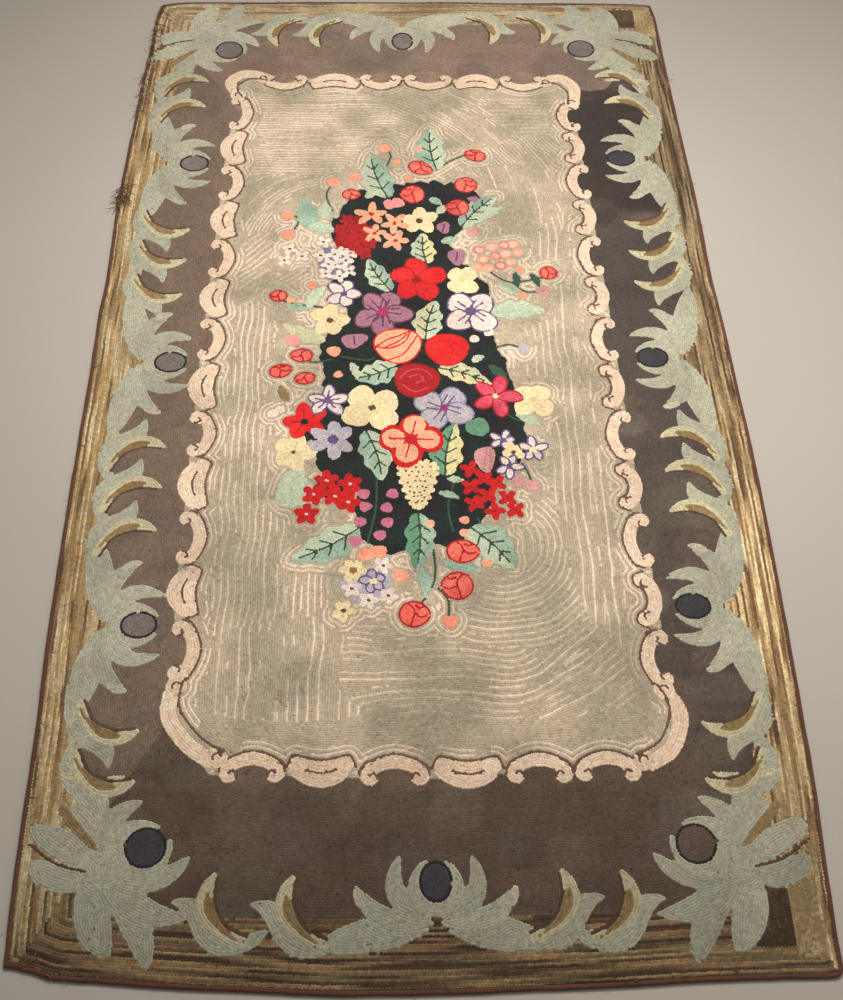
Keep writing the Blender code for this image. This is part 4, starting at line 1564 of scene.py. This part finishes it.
def outline(depth):
    """The rug's outline a depth inside its edge, in four stretches from mitre to mitre."""
    runs = [side_run(index, depth) for index in range(len(SIDES))]
    rounds = []
    for index in range(len(SIDES)):
        start, end, before = runs[index - 1][-1], runs[index][0], SIDES[index - 1]
        corner = start + before.along * (end - start).dot(before.along)
        steps = [step / CORNER_STEPS for step in range(1, CORNER_STEPS)]
        rounds.append([start * (1 - t) ** 2 + corner * 2 * t * (1 - t) + end * t * t for t in steps])
    middle = CORNER_STEPS // 2 - 1
    stretches = []
    for index, run in enumerate(runs):
        following = rounds[(index + 1) % len(SIDES)]
        stretches.append(rounds[index][middle:] + run + following[: middle + 1])
    return stretches


def closed_outline(depth):
    return np.array([tuple(point) for stretch in outline(depth) for point in stretch[:-1]])


# Materials


class Nodes:
    """Short ways to add nodes to a material and to join them."""

    def __init__(self, name):
        self.material = bpy.data.materials.new(name)
        self.material.use_nodes = True
        self.tree = self.material.node_tree
        self.shader = self.tree.nodes["Principled BSDF"]

    def add(self, kind, **settings):
        node = self.tree.nodes.new(kind)
        for key, value in settings.items():
            setattr(node, key, value)
        return node

    def join(self, source, target):
        self.tree.links.new(source, target)

    def math(self, operation, first, second=None):
        node = self.add("ShaderNodeMath", operation=operation)
        for socket, value in zip(node.inputs, (first, second)):
            if value is None:
                continue
            if isinstance(value, (int, float)):
                socket.default_value = value
            else:
                self.join(value, socket)
        return node.outputs[0]

    def attribute(self, name, output):
        return self.add("ShaderNodeAttribute", attribute_name=name).outputs[output]

    def flat_colour(self, colour):
        node = self.add("ShaderNodeRGB")
        node.outputs[0].default_value = (*linear(colour), 1.0)
        return node.outputs[0]

    def texture(self, kind, inputs, **settings):
        """A texture's value in the object's own space."""
        node = self.add(kind, **settings)
        for name, value in inputs.items():
            node.inputs[name].default_value = value
        self.join(self.add("ShaderNodeTexCoord").outputs["Object"], node.inputs["Vector"])
        return node.outputs["Fac"]

    def noise(self, scale, detail):
        return self.texture("ShaderNodeTexNoise", {"Scale": scale, "Detail": detail})

    def wave(self, direction, scale, distortion):
        inputs = {"Scale": scale, "Distortion": distortion}
        return self.texture("ShaderNodeTexWave", inputs, bands_direction=direction)

    def tinted(self, colour, amount):
        """A colour made lighter or darker by an amount."""
        node = self.add("ShaderNodeVectorMath", operation="SCALE")
        self.join(colour, node.inputs[0])
        self.join(amount, node.inputs["Scale"])
        return node.outputs[0]

    def span(self, value, low, high):
        """A value from 0 to 1 spread between two others."""
        node = self.add("ShaderNodeMapRange")
        self.join(value, node.inputs["Value"])
        node.inputs["To Min"].default_value = low
        node.inputs["To Max"].default_value = high
        return node.outputs["Result"]

    def bump(self, height, distance, strength):
        node = self.add("ShaderNodeBump")
        node.inputs["Strength"].default_value = strength
        node.inputs["Distance"].default_value = distance
        self.join(height, node.inputs["Height"])
        return node.outputs["Normal"]

    def finish(self, colour, normal, roughness, sheen=0.0):
        self.join(colour, self.shader.inputs["Base Color"])
        self.join(normal, self.shader.inputs["Normal"])
        self.shader.inputs["Roughness"].default_value = roughness
        self.shader.inputs["Specular IOR Level"].default_value = 0.25
        self.shader.inputs["Sheen Weight"].default_value = sheen
        self.shader.inputs["Sheen Roughness"].default_value = 0.6
        return self.material


def wool_material():
    """Wool loops: rounded across their row, with two ribs along it, and fibres; the colour is darker toward
    the rows' edges and in the ribs' dips, as painted shade.
    """
    nodes = Nodes("looped_wool")
    lie = nodes.add("ShaderNodeSeparateXYZ")
    nodes.join(nodes.attribute("lie", "Vector"), lie.inputs[0])
    aside = nodes.math("MINIMUM", nodes.math("MULTIPLY", lie.outputs["Y"], lie.outputs["Y"]), 1.3)
    rounded = nodes.math("SUBTRACT", 1.0, aside)
    turn = nodes.math("COSINE", nodes.math("MULTIPLY", lie.outputs["X"], 2 * math.pi))
    rib = nodes.math("SUBTRACT", 0.5, nodes.math("MULTIPLY", turn, 0.5))
    fibre = nodes.noise(scale=1500.0, detail=3.0)
    mottle = nodes.noise(scale=420.0, detail=2.0)
    # Painted shade: darker toward the edges of each row and in the dips between the ribs; the fibre and
    # mottle tones are the wool's own
    shade = nodes.span(rounded, low=0.84, high=1.03)
    shade = nodes.math("MULTIPLY", shade, nodes.span(fibre, low=0.78, high=1.22))
    shade = nodes.math("MULTIPLY", shade, nodes.span(mottle, low=0.86, high=1.14))
    shade = nodes.math("MULTIPLY", shade, nodes.span(rib, low=0.87, high=1.06))
    height = nodes.math("ADD", rounded, nodes.math("MULTIPLY", rib, 0.45))
    height = nodes.math("ADD", height, nodes.math("MULTIPLY", fibre, 0.5))
    colour = nodes.tinted(nodes.attribute("yarn", "Color"), shade)
    normal = nodes.bump(height, distance=0.0008, strength=0.55)
    return nodes.finish(colour, normal, roughness=0.95, sheen=0.10)


def cloth_colour(nodes, colour, light, fine):
    """A cloth's colour, shaded by its large light and dark and by its fibres."""
    light = nodes.span(light, low=0.72, high=1.28)
    fine = nodes.span(fine, low=0.82, high=1.18)
    return nodes.tinted(nodes.flat_colour(colour), nodes.math("MULTIPLY", light, fine))


def binding_material():
    nodes = Nodes("binding_tape")
    ribs = nodes.wave("DIAGONAL", scale=240.0, distortion=1.2)
    fibre = nodes.noise(scale=900.0, detail=3.0)
    wear = nodes.noise(scale=28.0, detail=3.0)
    height = nodes.math("ADD", nodes.math("MULTIPLY", ribs, 0.6), fibre)
    colour = cloth_colour(nodes, (100, 64, 48), wear, fibre)
    normal = nodes.bump(height, distance=0.0005, strength=0.8)
    return nodes.finish(colour, normal, roughness=0.92, sheen=0.08)


def foundation_material():
    nodes = Nodes("burlap_foundation")
    warp, weft = (nodes.wave(direction, scale=160.0, distortion=0.8) for direction in ("X", "Y"))
    height = nodes.math("MULTIPLY", warp, weft)
    fibre = nodes.noise(scale=700.0, detail=3.0)
    # Painted shade: the cloth is darker where the weave lies low, between the threads
    colour = cloth_colour(nodes, (150, 126, 92), height, fibre)
    normal = nodes.bump(height, distance=0.0006, strength=0.9)
    return nodes.finish(colour, normal, roughness=0.95, sheen=0.05)


def thread_material():
    nodes = Nodes("frayed_thread")
    fibre = nodes.noise(scale=1200.0, detail=3.0)
    colour = nodes.tinted(nodes.attribute("yarn", "Color"), nodes.span(fibre, low=0.7, high=1.3))
    normal = nodes.bump(fibre, distance=0.0003, strength=0.6)
    return nodes.finish(colour, normal, roughness=0.95, sheen=0.1)


def floor_material():
    nodes = Nodes("pale_floor")
    cloud = nodes.noise(scale=2.2, detail=3.0)
    grain = nodes.noise(scale=160.0, detail=2.0)
    shade = nodes.span(cloud, low=0.95, high=1.05)
    shade = nodes.math("MULTIPLY", shade, nodes.span(grain, low=0.985, high=1.015))
    colour = nodes.tinted(nodes.flat_colour((184, 176, 166)), shade)
    return nodes.finish(colour, nodes.bump(grain, distance=0.0004, strength=0.3), roughness=0.8)


# The binding, the foundation and the frayed threads


# The tape's section: how far inside the outline and how high each point lies, in metres
BINDING_PROFILE = [
    (0.0022, 0.0000), (0.0006, 0.0006), (0.0000, 0.0022), (0.0001, 0.0036), (0.0006, 0.0046),
    (0.0014, 0.0054), (0.0024, 0.0058), (0.0036, 0.0059), (0.0048, 0.0058), (0.0057, 0.0055),
    (0.0062, 0.0046), (0.0062, 0.0012), (0.0300, 0.0012), (0.0300, 0.0000),
]
# The tape puckers in slow waves, drawn in by them at its visible points, and between its stitches
PUCKERS = 60
PUCKER_RISE = 0.00022
PUCKER_PULL = 0.00035
PULLED = slice(2, 9)
STITCH_PITCH = 0.0085
STITCH_RISE = 0.0003
STITCHED_FROM, STITCHED_TO = 0.003, 0.0063
FLAP_BELOW = 0.002
TAPE_CREASE = math.radians(60)
MAP_SHARE = 0.95
# The foundation: a flat sheet inside the binding's flap, and a margin turned over the flap
SHEET_DEPTH = 0.0301
MARGIN_DEPTH = 0.0064
MARGIN_HEIGHT = 0.00125
SHEET_HEIGHT = 0.0018
SHEET_EVERY = 6
SHEET_RINGS = (1.0, 0.8, 0.6, 0.4, 0.2)
SHEET_CREASE = math.radians(50)


def map_strip(mesh, rows, columns):
    """The bake map of a strip: its length by the way round its section, kept inside the unit square."""
    corner = corner_vertices(mesh).reshape(-1, 3)
    u = (corner // columns) / rows
    v = (corner % columns) / columns
    v = np.where((v.max(1, keepdims=True) - v > 0.5), v + 1, v)
    set_bake_map(mesh, np.stack([u, v * MAP_SHARE], -1))


def make_binding(index, material):
    """One side's tape, narrower on top than the solid's, and puckered where it is stitched down."""
    random = np.random.default_rng(SEED + 10 + index)
    side = SIDES[index]
    lines_along = [outline(depth)[index] for depth, _ in BINDING_PROFILE]
    stations, columns = len(lines_along[0]), len(BINDING_PROFILE)
    along = np.linspace(0, 1, stations)
    length = LENGTH if index % 2 else WIDTH
    soft = np.interp(along * PUCKERS, np.arange(PUCKERS + 1), random.normal(0, 1, PUCKERS + 1))
    stitches = np.abs(np.sin(math.pi * along * length / STITCH_PITCH))
    places = np.zeros((stations, columns, 3))
    for k, (depth, height) in enumerate(BINDING_PROFILE):
        places[:, k, :2] = np.array([tuple(p) for p in lines_along[k]])
        places[:, k, 2] = height
        if height > FLAP_BELOW:
            stitched = STITCHED_FROM < depth < STITCHED_TO
            places[:, k, 2] += PUCKER_RISE * soft + STITCH_RISE * stitches * stitched
    pull = PUCKER_PULL * soft[:, None] * np.array([tuple(side.inward)] * stations)
    places[:, PULLED, :2] += pull[:, None, :]
    i, j = np.mgrid[0:stations - 1, 0:columns]
    a, b = i * columns + j, i * columns + (j + 1) % columns
    c, d = b + columns, a + columns
    quads = np.stack([a, b, c, a, c, d], -1).reshape(-1, 3)
    caps = []
    end = (stations - 1) * columns
    for k in range(1, columns - 1):
        caps += [(0, k + 1, k), (end, end + k, end + k + 1)]
    triangles = np.concatenate([quads, np.array(caps)])
    obj = new_piece(f"binding_cover_{side.name}", places.reshape(-1, 3), triangles, material)
    obj.data.set_sharp_from_angle(angle=TAPE_CREASE)
    map_strip(obj.data, stations, columns)
    return obj


def level_ring(ring, height):
    return np.column_stack([ring, np.full(len(ring), height)])


def make_foundation(material):
    """The foundation cloth: a thin sheet under the pile, its margin turned over the binding's flap."""
    inner, outer = (closed_outline(depth)[::SHEET_EVERY] for depth in (SHEET_DEPTH, MARGIN_DEPTH))
    under = [level_ring(inner * share, 0) for share in SHEET_RINGS[::-1]]
    lower, upper = MARGIN_HEIGHT, SHEET_HEIGHT
    margin = [level_ring(inner, lower), level_ring(outer, lower), level_ring(outer, upper)]
    over = [level_ring(inner * share, SHEET_HEIGHT) for share in SHEET_RINGS]
    rows = under + margin + over
    vertices = np.concatenate(rows + [[(0, 0, 0)], [(0, 0, SHEET_HEIGHT)]])
    count = len(inner)
    triangles = []
    for r in range(len(rows) - 1):
        for i in range(count):
            j = (i + 1) % count
            a, b, c, d = r * count + i, r * count + j, (r + 1) * count + j, (r + 1) * count + i
            triangles += [(a, b, c), (a, c, d)]
    low, high = len(rows) * count, len(rows) * count + 1
    last = (len(rows) - 1) * count
    for i in range(count):
        j = (i + 1) % count
        triangles += [(low, j, i), (high, last + i, last + j)]
    obj = new_piece("foundation", vertices, np.array(triangles), material)
    obj.data.set_sharp_from_angle(angle=SHEET_CREASE)
    return obj


Fray = namedtuple("Fray", "side start end count length yarns")
THREAD_TONES = {"dark": (62, 46, 38), "rust": (150, 96, 62), "tan": (190, 160, 120), "black": (28, 24, 24)}
# Frayed threads: a side, from where to where along it, how many, how long, and their wools
FRAYS = [
    Fray("left", 0.60, 0.94, 190, 0.026, ("dark", "rust", "tan", "dark")),
    Fray("left", 0.375, 0.425, 120, 0.024, ("dark", "black", "rust")),
    Fray("left", -0.90, 0.90, 60, 0.012, ("rust", "dark")),
    Fray("right", 0.68, 0.72, 10, 0.024, ("dark", "tan")),
    Fray("right", -0.90, 0.90, 46, 0.010, ("rust", "dark")),
    Fray("near", -0.50, -0.44, 8, 0.020, ("black", "rust")),
    Fray("near", -0.48, 0.48, 40, 0.010, ("rust", "dark")),
    Fray("far", -0.50, 0.46, 60, 0.012, ("dark", "rust")),
]
THREAD_SIDES = 4
THREAD_STEPS = 9
THREAD_RADIUS = (0.00022, 0.00045)
# The height at which a thread lies on the binding, and on the floor, and how it falls between the two
ON_BINDING = 0.0064
ON_FLOOR = 0.0008
FALL = 1.6
EDGE_ROUND = 0.001


def thread_path(fray, side, random):
    """A wandering path from a place on the binding, that lies on it and drops over the rug's edge."""
    half_across = (LENGTH if side.along.x else WIDTH) / 2
    sign = side.along.x + side.along.y
    place = random.uniform(fray.start, fray.end)
    depth = random.uniform(0.000, 0.010)
    length = fray.length * random.uniform(0.4, 1.3)
    bearing = random.uniform(-0.5, 0.5) + (0 if random.random() < 0.75 else 1.2)
    spot = np.array([place * sign, inset_at(side.edge, place) + depth - half_across])
    z = ON_BINDING + random.uniform(0, 0.001)
    path = []
    for _ in range(THREAD_STEPS):
        bearing += random.normal(0, 0.35)
        spot = spot + length / THREAD_STEPS * np.array([math.cos(bearing), math.sin(bearing)])
        inside = spot[1] + half_across - inset_at(side.edge, spot[0] * sign)
        over = ON_BINDING if inside > EDGE_ROUND else max(ON_FLOOR, ON_BINDING + (inside - EDGE_ROUND) * FALL)
        z += (over + random.uniform(0, 0.0014) - z) * 0.6
        flat = side.along * spot[0] + side.inward * spot[1]
        path.append((flat.x, flat.y, z))
    return np.array(path)


def make_frays(material):
    """Worn threads along the edges, each a thin tube on a wandering path over the binding."""
    random = np.random.default_rng(SEED + 30)
    vertices, triangles, colours = [], [], []
    names = [side.name for side in SIDES]
    for fray in FRAYS:
        side = SIDES[names.index(fray.side)]
        for _ in range(fray.count):
            path = thread_path(fray, side, random)
            radius = random.uniform(*THREAD_RADIUS)
            tone = linear(THREAD_TONES[fray.yarns[random.integers(len(fray.yarns))]])
            tube(path, radius, vertices, triangles)
            colours += [tone * random.uniform(0.75, 1.25)] * (len(triangles) - len(colours))
    obj = new_piece("frayed_threads", np.array(vertices), np.array(triangles), material)
    colour_faces(obj.data, np.array(colours))
    return obj


def tube(path, radius, vertices, triangles):
    """A thin closed tube along a path, added to lists of vertices and triangles."""
    base = len(vertices)
    way = np.gradient(path, axis=0)
    way /= np.linalg.norm(way, axis=1)[:, None]
    side = np.cross(way, (0, 0, 1))
    side /= np.maximum(np.linalg.norm(side, axis=1), 1e-6)[:, None]
    rise = np.cross(side, way)
    for k, middle in enumerate(path):
        taper = 0.45 + 0.55 * math.sin(math.pi * (k + 0.5) / len(path))
        for s in range(THREAD_SIDES):
            angle = 2 * math.pi * s / THREAD_SIDES
            vertices.append(middle + radius * taper * (side[k] * math.cos(angle) + rise[k] * math.sin(angle)))
    for k in range(len(path) - 1):
        for s in range(THREAD_SIDES):
            a, b = base + k * THREAD_SIDES + s, base + k * THREAD_SIDES + (s + 1) % THREAD_SIDES
            c, d = b + THREAD_SIDES, a + THREAD_SIDES
            triangles += [(a, c, b), (a, d, c)]
    end = base + (len(path) - 1) * THREAD_SIDES
    for s in range(1, THREAD_SIDES - 1):
        triangles += [(base, base + s, base + s + 1), (end, end + s + 1, end + s)]


# Camera, floor and light


# How far the camera looks down, turns and leans, in radians, and its place in metres
PITCH, YAW, ROLL = 1.00621672, -0.04771074, 0.03966585
CAMERA_PLACE = Vector((-0.04295, -1.24897, 1.5885))
FOCAL_PIXELS = 1233.0
FRAME_PIXELS = 1000.0
SENSOR = 36.0
FLOOR_HALF = 6.0


def add_camera():
    forward = Vector((0, math.cos(PITCH), -math.sin(PITCH)))
    up = Vector((0, math.sin(PITCH), math.cos(PITCH)))
    right = Vector((1, 0, 0))
    tilted_right = right * math.cos(ROLL) + up * math.sin(ROLL)
    tilted_up = up * math.cos(ROLL) - right * math.sin(ROLL)
    turn = Matrix.Rotation(YAW, 3, "Z")
    axes = Matrix((turn @ tilted_right, turn @ tilted_up, turn @ -forward)).transposed().to_4x4()
    data = bpy.data.cameras.new("camera")
    data.sensor_width = SENSOR
    data.lens = FOCAL_PIXELS / FRAME_PIXELS * SENSOR
    camera = bpy.data.objects.new("camera", data)
    camera.matrix_world = Matrix.Translation(CAMERA_PLACE) @ axes
    bpy.context.scene.collection.objects.link(camera)
    bpy.context.scene.camera = camera


def add_floor():
    corners = FLOOR_HALF * np.array([(-1, -1, 0), (1, -1, 0), (1, 1, 0), (-1, 1, 0)])
    floor = new_piece("floor", corners, np.array([(0, 1, 2), (0, 2, 3)]), floor_material())


def add_light(name, place, target, size, power, colour):
    data = bpy.data.lights.new(name, "AREA")
    data.shape = "RECTANGLE"
    data.size, data.size_y = size
    data.energy = power
    data.color = colour
    light = bpy.data.objects.new(name, data)
    light.location = place
    light.rotation_euler = (Vector(target) - Vector(place)).to_track_quat("-Z", "Y").to_euler()
    light.visible_camera = False
    bpy.context.scene.collection.objects.link(light)


def add_lights():
    add_light(
        "key", place=(0.12, 0.22, 1.35), target=(0.10, 0.14, 0.0), size=(0.9, 0.8), power=24.8,
        colour=(1.0, 0.96, 0.90),
    )
    add_light(
        "side", place=(2.0, -0.55, 1.5), target=(0.3, -0.3, 0.0), size=(1.4, 1.4), power=9.0,
        colour=(1.0, 0.97, 0.93),
    )
    world = bpy.data.worlds.new("soft_room")
    world.use_nodes = True
    background = world.node_tree.nodes["Background"]
    background.inputs["Color"].default_value = (1.0, 0.97, 0.94, 1.0)
    background.inputs["Strength"].default_value = 0.17
    bpy.context.scene.world = world
    bpy.context.scene.view_settings.view_transform = "Standard"


def inside_mask():
    """The canvas cells that the pile covers, inside the binding."""
    rim = closed_outline(PILE_DEPTH) / CELL + np.array([COLUMNS / 2, ROWS / 2]) - 0.5
    window, mask = filled(rim)
    inside = np.zeros((ROWS, COLUMNS), bool)
    inside[window] = mask
    return inside


def main():
    add_camera()
    draw_pattern()
    inside = inside_mask()
    across, zone = row_field(inside)
    loops, owners, ways = choose_loops(inside, across, zone)
    colours = loop_colours(loops, owners, across, zone)
    spread = np.random.default_rng(SEED + 3).normal(0, PLACE_SPREAD, loops.shape)
    places = metres(loops + spread.clip(-PLACE_LIMIT, PLACE_LIMIT))
    ghosts = closed_outline(PILE_DEPTH - RIM_REACH)
    pile = make_pile(places, owners, ways, colours, ghosts, wool_material())
    tape = binding_material()
    bindings = [make_binding(index, tape) for index in range(len(SIDES))]
    foundation = make_foundation(foundation_material())
    frays = make_frays(thread_material())
    for piece in pile + [foundation, frays]:
        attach(piece, "root")
    for piece in pile + [foundation]:
        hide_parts("hooked_panel")
    for side, piece in zip(SIDES, bindings):
        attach(piece, "root")
        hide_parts("binding_" + side.name)
    add_floor()
    add_lights()


main()
